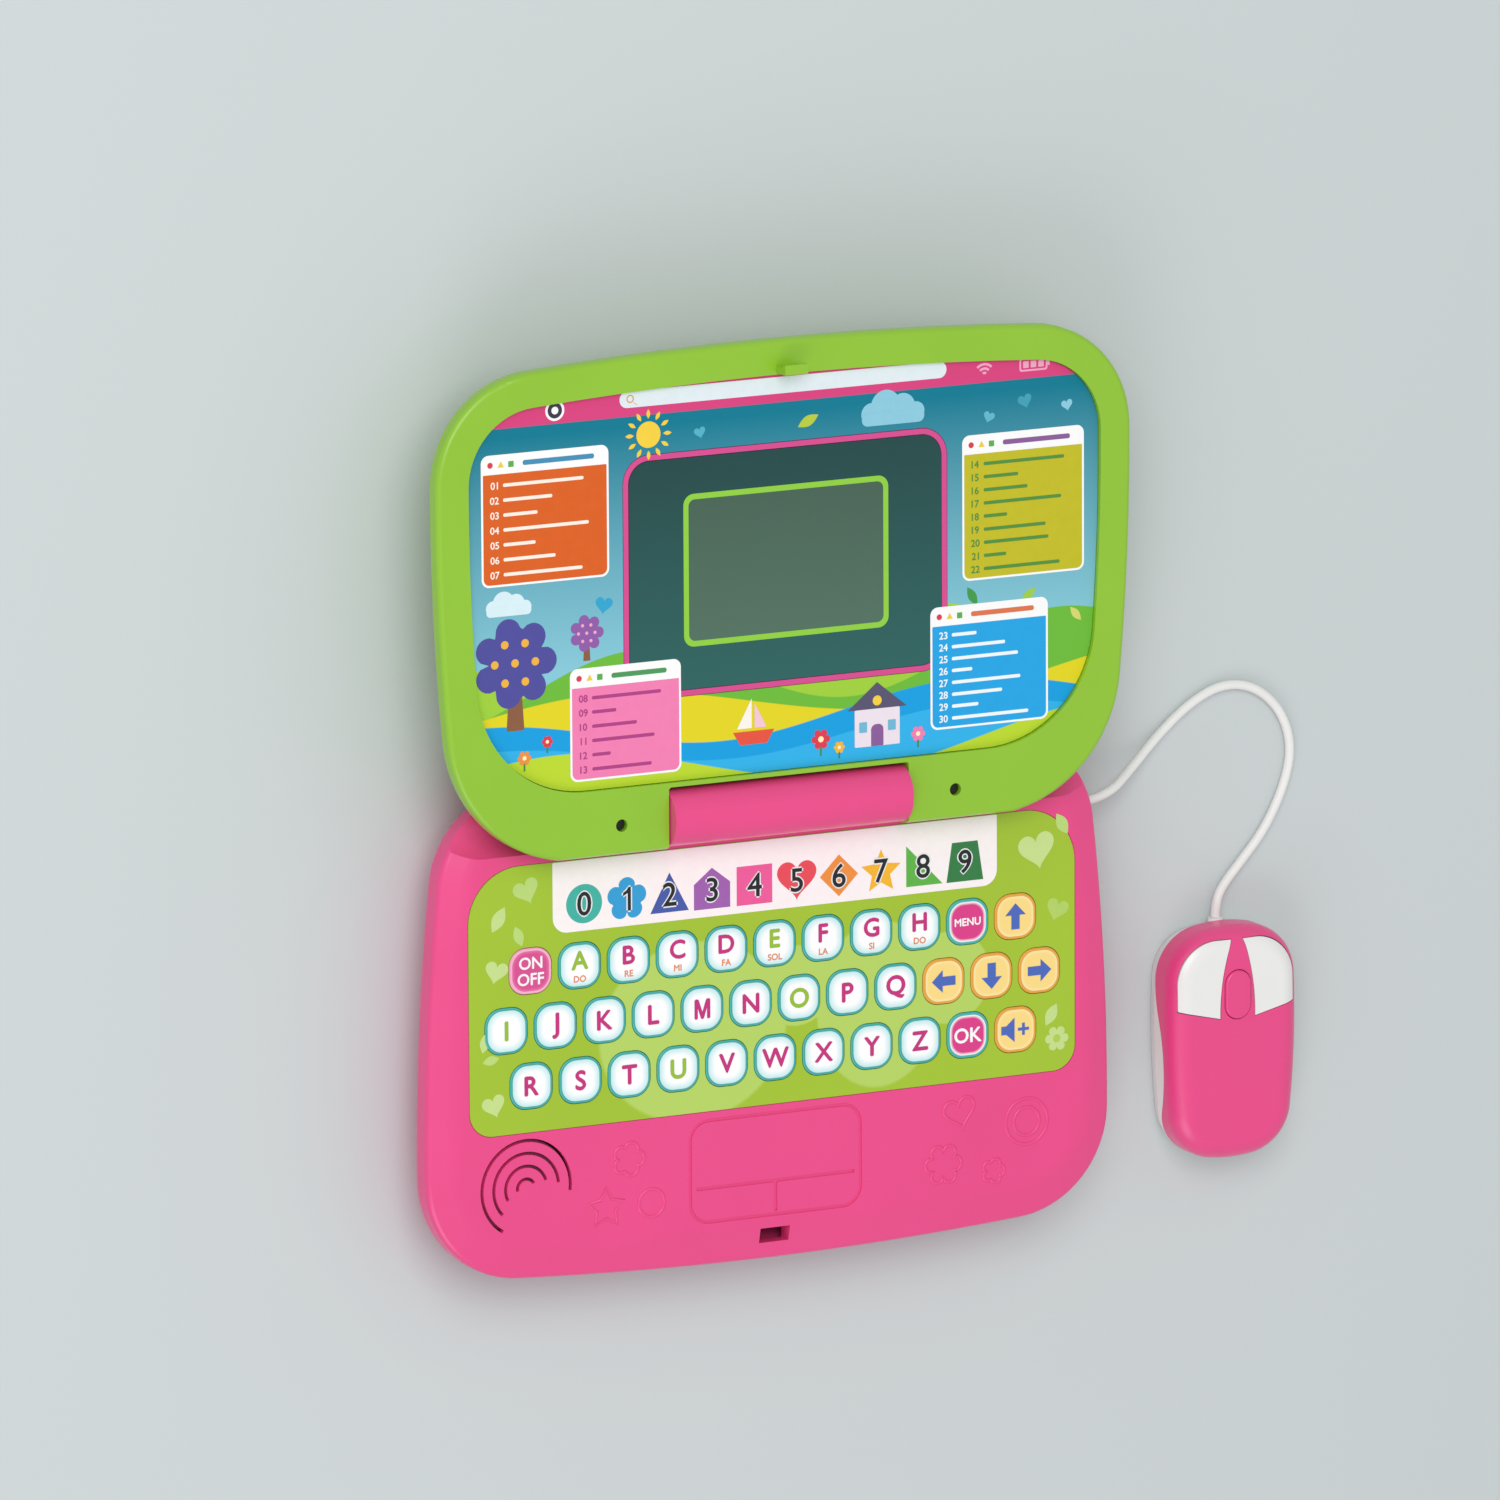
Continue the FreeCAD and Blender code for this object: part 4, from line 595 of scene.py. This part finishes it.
panel = new_material("printed_card_landscape")
panel_place = add_node(panel, "TexCoord").outputs["Object"]
panel_axes = add_node(panel, "SeparateXYZ", {}, {"Vector": panel_place})
sky_share = add_node(panel, "MapRange", {}, {
    "Value": panel_axes.outputs["Y"], "From Min": SKY_LOW * MM, "From Max": SKY_HIGH * MM})
panel_colour = add_node(panel, "Mix", {"data_type": "RGBA"}, {
    "Factor": sky_share.outputs["Result"],
    FIRST_COLOUR: linear("86c8d8"),
    SECOND_COLOUR: linear("007a92")})
for code, level, swell, length, start in LAND:
    phase = add_node(panel, "Math", {"operation": "MULTIPLY_ADD"}, {
        0: panel_axes.outputs["X"], 1: 2 * np.pi / (length * MM), 2: -2 * np.pi * start / length})
    wave = add_node(panel, "Math", {"operation": "SINE"}, {0: phase.outputs[0]})
    edge = add_node(panel, "Math", {"operation": "MULTIPLY_ADD"}, {
        0: wave.outputs[0], 1: swell * MM, 2: level * MM})
    depth = add_node(panel, "Math", {"operation": "SUBTRACT"}, {
        0: edge.outputs[0], 1: panel_axes.outputs["Y"]})
    below = add_node(panel, "MapRange", {}, {"Value": depth.outputs[0], "From Max": 0.3 * MM})
    panel_colour = add_node(panel, "Mix", {"data_type": "RGBA"}, {
        "Factor": below.outputs["Result"],
        FIRST_COLOUR: panel_colour.outputs[MIXED_COLOUR],
        SECOND_COLOUR: linear(code)})
bar = add_node(panel, "MapRange", {}, {
    "Value": panel_axes.outputs["Y"], "From Min": BAR_EDGE * MM, "From Max": (BAR_EDGE + 0.2) * MM})
panel_colour = add_node(panel, "Mix", {"data_type": "RGBA"}, {
    "Factor": bar.outputs["Result"],
    FIRST_COLOUR: panel_colour.outputs[MIXED_COLOUR],
    SECOND_COLOUR: linear("d9437f")})
panel_lay = add_node(panel, "TexNoise", {}, {"Vector": panel_place, "Scale": 1 / (1.2 * MM), "Detail": 2.0})
panel_bump = add_node(panel, "Bump", {}, {
    "Height": panel_lay.outputs["Fac"], "Strength": 0.06, "Distance": 0.05 * MM})
close_material(panel, {
    "Base Color": panel_colour.outputs[MIXED_COLOUR], "Roughness": 0.5, "IOR": 1.3,
    "Normal": panel_bump.outputs["Normal"], "Coat Weight": 0.06, "Coat Roughness": 0.15})
paint(panel, "lid_art_panel")


# Prints on the panel: a title bar with a search field and status signs, four numbered cards, and a few
# plain motifs in the landscape: sun, clouds, trees, a boat, a house, flowers, hearts and leaves.

PANEL_TOP = 37.4
SIGN_PINK = "f3a8c6"
LENS_AMBER = "e0a24a"
SUN_YELLOW = "f6d23c"
PANE_BLUE = "6fb8d8"

lid_print = [shape(rounded_box(-58, 200.1, 57, 205.4, 2.6), "e3eef4", 1)]
arc_turn = np.linspace(np.pi / 4, 3 * np.pi / 4, 12)
arc = np.stack([np.cos(arc_turn), np.sin(arc_turn)], 1)
for reach in (1.2, 2.6, 4.0):
    outline = np.concatenate([arc * reach, (arc * (reach - 0.8))[::-1]]) + (70.5, 199.6)
    lid_print.append(shape(outline, SIGN_PINK, 1))
battery_outer = rounded_box(83, 199.6, 93, 204, 0.8)
battery_inner = rounded_box(83.6, 200.2, 92.4, 203.4, 0.5)
lid_print.append(band(battery_outer, battery_inner, SIGN_PINK, 1))
for x in (84.3, 87, 89.7):
    lid_print.append(shape(rounded_box(x, 200.7, x + 2, 202.9, 0.2), SIGN_PINK, 1))
lid_print.append(shape(rounded_box(93, 201, 93.8, 202.6, 0.2), SIGN_PINK, 1))
for layer, (radius, code) in enumerate(((3.3, "ffffff"), (2.5, "35304a"), (1.2, "ffffff")), 1):
    lid_print.append(shape(disc(-80.5, 201.5, radius), code, layer))
lens_middle = (-54.3, 202.9)
lens_ring = disc(*lens_middle, 1.3)
lid_print.append(band(lens_ring, (lens_ring - lens_middle) * 0.7 + lens_middle, LENS_AMBER, 2))
lens_handle = corners(-53.2, 201.7, [(-0.3, 0.3), (0.3, -0.3), (1.5, -1.2), (1.2, -0.7)])
lid_print.append(shape(lens_handle, LENS_AMBER, 2))


def card(x0, y0, x1, y1, code, bar_code, text, rows, first):
    """Numbered card: a white rim and header with three signs and a bar, and a coloured field.
    Each row of the field has a number, counted from the first, and a bar."""
    header = y1 - 6.2
    items = [shape(rounded_box(x0, y0, x1, y1, 2.6), "fdfdfd", 2),
             shape(rounded_box(x0 + 0.7, y0 + 0.7, x1 - 0.7, header, 2.0, 0.3), code, 3),
             shape(disc(x0 + 3.2, y1 - 3.2, 0.95), "e0364a", 3),
             shape(corners(x0 + 6.9, y1 - 3.3, [(-1.1, -0.8), (1.1, -0.8), (0, 1.2)]), "f2cf2e", 3),
             shape(rounded_box(x0 + 9.5, y1 - 4.2, x0 + 11.4, y1 - 2.3, 0.2), "58b04a", 3),
             shape(rounded_box(x0 + 14.5, y1 - 4, x1 - 5, y1 - 2.4, 0.7), bar_code, 3)]
    pitch = (header - y0 - 2.6) / rows
    bar_start = x0 + 7.6
    for row in range(rows):
        y = header - 1.2 - (row + 0.5) * pitch
        length = (x1 - x0 - 14) * (0.62 + 0.36 * np.sin(2.3 * row + first))
        items.append(lettering("%02d" % (first + row), 2.2, x0 + 4.6, y, text, 4, 0.07))
        items.append(shape(rounded_box(bar_start, y - 0.55, bar_start + length, y + 0.55, 0.5), text, 4))
    return items


lid_print += card(-106.3, 147.3, -62, 189.2, "dd5f10", "3f8fb8", "fdf1e4", rows=7, first=1)
lid_print += card(62.5, 134, 106, 180.8, "c4bd18", "8a5a9a", "4f8f3a", rows=9, first=14)
lid_print += card(-76, 82.6, -37.2, 118.7, "f47fb4", "4a9a58", "b03c86", rows=6, first=8)
lid_print += card(51, 87, 93, 126.5, "12a5e6", "e0744a", "f2fafd", rows=8, first=23)


def cloud(x, y, size, code):
    """Cloud of four overlapping discs on a flat base."""
    puffs = [(-0.9, 0.25, 0.42), (-0.3, 0.5, 0.62), (0.4, 0.42, 0.52), (0.95, 0.22, 0.36)]
    items = []
    for k, (across, up, radius) in enumerate(puffs):
        items.append(shape(disc(x + across * size, y + up * size, radius * size), code, 1 + 0.3 * k))
    foot = rounded_box(x - 1.3 * size, y - 0.2 * size, x + 1.3 * size, y + 0.3 * size, 0.24 * size)
    items.append(shape(foot, code, 2.5))
    return items


# Place, width, turn and colour of each heart; place, length, turn and colour of each leaf.
LID_HEARTS = [
    (85, 190, 5, 15, "3aa0b8"), (72, 186, 4, -20, "5fb8cc"), (100, 187.5, 4, 10, "8ccbe0"),
    (-64, 138, 6, -10, "2aa5d0"), (-30, 190, 4, 12, "4fb2c8"),
]
LID_LEAVES = [
    (8, 190.5, 8, 25, "b8cc3a"), (66, 129, 7, 120, "3c9a44"), (86, 127.5, 7, 40, "9ccc48"),
    (103, 120, 6, 130, "d8d870"),
]
lid_print += cloud(38, 188.5, 8.5, "8ccbe0")
lid_print += cloud(-97, 139, 6, "d8f0f6")
sun_x, sun_y = -48, 191
lid_print.append(shape(disc(sun_x, sun_y, 4.2), SUN_YELLOW, 1))
for turn in range(0, 360, 30):
    lean = np.radians(turn)
    ray = leaf(sun_x + 6.6 * np.cos(lean), sun_y + 6.6 * np.sin(lean), 3, 1.3, turn)
    lid_print.append(shape(ray, SUN_YELLOW, 1))
for x, y, width, turn, code in LID_HEARTS:
    lid_print.append(shape(heart(x, y, width, turn), code, 1))
for x, y, length, turn, code in LID_LEAVES:
    lid_print.append(shape(leaf(x, y, length, length * 0.42, turn), code, 1))


def tree(x, y, size, crown, fruit):
    """Round tree: a trunk, a crown of lobes, six round fruits in a ring and one in the middle."""
    trunk = corners(x, y, np.array([(-0.14, 0), (0.14, 0), (0.1, 0.62), (-0.1, 0.62)]) * size)
    crown_y = y + 0.98 * size
    items = [shape(trunk, "8a5a3c", 1), shape(flower(x, crown_y, 0.66 * size, 7), crown, 2)]
    for turn in range(0, 360, 60):
        lean = np.radians(turn)
        place = (x + 0.32 * size * np.cos(lean), crown_y + 0.32 * size * np.sin(lean))
        items.append(shape(disc(*place, 0.06 * size), fruit, 3))
    items.append(shape(disc(x, crown_y, 0.06 * size), fruit, 3))
    return items


# Place, size and colour of each flower.
LID_FLOWERS = [
    (12, 88, 4.4, "e0364a"), (46.5, 86.5, 3.4, "f47fb4"), (-92, 92, 3.2, "f0923c"),
    (-84, 96.5, 2.6, "e0364a"), (18.5, 84.8, 2.6, "f7b928"),
]
lid_print += tree(-95, 101, 22, "4c4a9c", "f0b43c")
lid_print += tree(-70, 121, 9, "8f5aa8", "f6a8c8")
lid_print += [
    shape(corners(-12, 91, [(-7, 2), (7.5, 2), (5, -2.2), (-4.5, -2.2)]), "e8503a", 3),
    shape(corners(-12, 94, [(-0.4, 0), (-0.4, 9.5), (-5.6, 0)]), "fdf6ee", 3),
    shape(corners(-12, 94, [(0.6, 0), (0.6, 8), (4.8, 0)]), "f7c8d8", 3),
]
lid_print += [
    shape(rounded_box(24, 84, 40, 96, 0.4), "efe3ee", 2),
    shape(corners(32, 96, [(-10.5, 0), (10.5, 0), (0, 8.5)]), "55506e", 3),
    shape(rounded_box(29.8, 84, 34.2, 91, 0.3, 1.8), "8a5a9a", 3),
    shape(disc(32, 98.6, 1.6), SUN_YELLOW, 4),
    shape(rounded_box(25.6, 88.6, 28.4, 92, 0.3), PANE_BLUE, 3),
    shape(rounded_box(35.8, 88.6, 38.6, 92, 0.3), PANE_BLUE, 3),
]
for x, y, size, code in LID_FLOWERS:
    stalk = corners(x, y, [(-0.3, -size - 1), (0.3, -size - 1), (0.3, 0), (-0.3, 0)])
    lid_print.append(shape(stalk, "3c8a3c", 2))
    lid_print.append(shape(flower(x, y, size * 0.75, 6), code, 3))
    lid_print.append(shape(disc(x, y, size * 0.22), "fdf3c0", 4))
lay_print("picture_panel_print", "lid", PANEL_TOP, lid_print)


# Screen: a tinted acrylic window in the bezel, with a lime line printed round the liquid crystal display.
# The window is dark and polished; the display's area is laid on its face in a paler grey green.
# Both darken towards the lid's far end, and that darkening is painted shade.

def tinted_glass(name, near_tint, far_tint_in_painted_shade, low, high, roughness):
    """Polished tint that goes from a near colour to a darker far one between two places along the lid; the
    darkening is painted shade.
    """
    material = new_material(name)
    place = add_node(material, "TexCoord").outputs["Object"]
    axes = add_node(material, "SeparateXYZ", {}, {"Vector": place})
    share = add_node(material, "MapRange", {}, {
        "Value": axes.outputs["Y"], "From Min": low * MM, "From Max": high * MM})
    colour = add_node(material, "Mix", {"data_type": "RGBA"}, {
        "Factor": share.outputs["Result"],
        FIRST_COLOUR: linear(near_tint),
        SECOND_COLOUR: linear(far_tint_in_painted_shade)})
    return close_material(material, {
        "Base Color": colour.outputs[MIXED_COLOUR], "Roughness": roughness, "IOR": 1.49,
        "Coat Weight": 0.05, "Coat Roughness": 0.03})


# The far colours are the same tints darkened as painted shade.
window = tinted_glass("tinted_acrylic_teal_painted_shade", "20605c", "0b4341", 108, 182, 0.12)
display = tinted_glass("liquid_crystal_grey_green_painted_shade", "4d6e5d", "40604f", 122, 171, 0.18)
paint(window, "screen_window")
paint(display, "lcd_module")
frame_outer = rounded_box(-36, 122, 36.2, 170.8, 3.6)
frame_inner = rounded_box(-34.2, 123.8, 34.4, 169, 2.2)
display_area = (frame_outer, [list(range(len(frame_outer)))], display, 1)
screen_print = [display_area, band(frame_outer, frame_inner, "8fd03c", 2)]
lay_print("display_print", "lid", PANEL_TOP, screen_print)


# Mouse: pink upper shell and centre pad, white lower shell and two white buttons, all in satin ABS.
# The shells are moulded and meet along an arched line; the buttons are let into the upper shell's front.

white_abs = moulded_abs("white_abs_satin", "efefed", 0.32)
paint(pink_abs, "mouse_top_shell", "mouse_scroll_pad")
paint(white_abs, "mouse_bottom_shell", "mouse_left_button", "mouse_right_button")


# Mouse lead: limp white vinyl cord, 3 mm thick, from the strain relief in the base's side to the mouse.
# It drops to the table, swings round in one loose bend and is shown from end to end.

CORD_ROUTE = [
    (119, 52.5, 12), (128.5, 53.6, 11.4), (140, 60, 5.2), (152, 69.5, 1.5), (163.5, 78.8, 1.5),
    (175.5, 84, 1.5), (187.5, 82, 1.5), (197, 73.3, 1.5), (201, 61.3, 1.5), (198.3, 48.5, 1.5),
    (191, 34.5, 1.5), (182, 24.5, 1.5), (174.8, 17.2, 2.2), (172.1, 12.2, 3.2), (171.8, 7.75, 3.4),
]
CORD_THICKNESS = 3.0

vinyl = plain_stock("soft_vinyl_white", "eeeeec", roughness=0.42, spot=5.0, contrast=0.03)
paint(vinyl, "cord_strain_relief", "mouse_cord")
cord_curve = bpy.data.curves.new("lead_line", "CURVE")
cord_curve.dimensions = "3D"
cord_line = cord_curve.splines.new("NURBS")
cord_line.points.add(len(CORD_ROUTE) - 1)
cord_points = np.hstack([np.array(CORD_ROUTE) * MM, np.ones((len(CORD_ROUTE), 1))])
cord_line.points.foreach_set("co", cord_points.ravel())
cord_line.order_u = 3
cord_line.use_endpoint_u = True
cord_line.resolution_u = 16
cord_curve.bevel_depth = CORD_THICKNESS / 2 * MM
cord_curve.bevel_resolution = 6
cord_curve.use_fill_caps = True
cord_curve.materials.append(vinyl)
lead = bpy.data.objects.new("mouse_lead", cord_curve)
bpy.context.scene.collection.objects.link(lead)
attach(lead, "base")
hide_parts("mouse_cord")


# Table and light: a pale matt table, a wide soft box above the rear left, a weaker one at the front left,
# and an even white sky.

TABLE_HALF = 6.0
TABLE_LEVEL = -0.0003
LIT_PLACE = (0.03, 0.07, 0)

table_paint = new_material("pale_matt_table")
close_material(table_paint, {"Base Color": linear("cbd2d3"), "Roughness": 0.9})
table_mesh = bpy.data.meshes.new("table")
table_corners = [(-TABLE_HALF, -TABLE_HALF, TABLE_LEVEL), (TABLE_HALF, -TABLE_HALF, TABLE_LEVEL),
                 (TABLE_HALF, TABLE_HALF, TABLE_LEVEL), (-TABLE_HALF, TABLE_HALF, TABLE_LEVEL)]
table_mesh.from_pydata(table_corners, [], [(0, 1, 2, 3)])
table_mesh.materials.append(table_paint)
table = bpy.data.objects.new("table", table_mesh)
bpy.context.scene.collection.objects.link(table)

world = bpy.data.worlds.new("even_sky")
bpy.context.scene.world = world
world.use_nodes = True
sky = world.node_tree.nodes["Background"]
sky.inputs["Color"].default_value = (1, 1, 1, 1)
sky.inputs["Strength"].default_value = 0.6


def soft_box(name, place, size, power):
    """Square area lamp that faces the toy."""
    lamp = bpy.data.lights.new(name, "AREA")
    lamp.size = size
    lamp.energy = power
    light = bpy.data.objects.new(name, lamp)
    bpy.context.scene.collection.objects.link(light)
    light.location = place
    light.rotation_euler = (Vector(LIT_PLACE) - Vector(place)).to_track_quat("-Z", "Y").to_euler()


soft_box("overhead_soft_box", place=(-0.7, 1.0, 1.9), size=1.3, power=20)
soft_box("front_soft_box", place=(-1.0, -1.3, 1.2), size=1.2, power=9)


# Camera: a long lens five metres away, above the left rear corner, turned so that the lid is at the top.

CAMERA_BACK = Vector((-0.4403, 0.2017, 0.8749)).normalized()
CAMERA_UP = Vector((0.0953, 0.9794, -0.1778)).normalized()
CAMERA_TARGET = Vector((-0.0083, 0.0848, 0.028))
CAMERA_DISTANCE = 5.0
SENSOR_WIDTH = 36.0
PIXELS_PER_METRE = 3169.4
FRAME_PIXELS = 1500

lens = bpy.data.cameras.new("camera")
lens.sensor_width = SENSOR_WIDTH
lens.lens = SENSOR_WIDTH * PIXELS_PER_METRE * CAMERA_DISTANCE / FRAME_PIXELS
lens.clip_end = 50.0
camera = bpy.data.objects.new("camera", lens)
bpy.context.scene.collection.objects.link(camera)
right = CAMERA_UP.cross(CAMERA_BACK).normalized()
upright = CAMERA_BACK.cross(right)
camera_turn = Matrix((right, upright, CAMERA_BACK)).transposed().to_4x4()
camera.matrix_world = Matrix.Translation(CAMERA_TARGET + CAMERA_BACK * CAMERA_DISTANCE) @ camera_turn
bpy.context.scene.camera = camera
bpy.context.scene.view_settings.view_transform = "Standard"
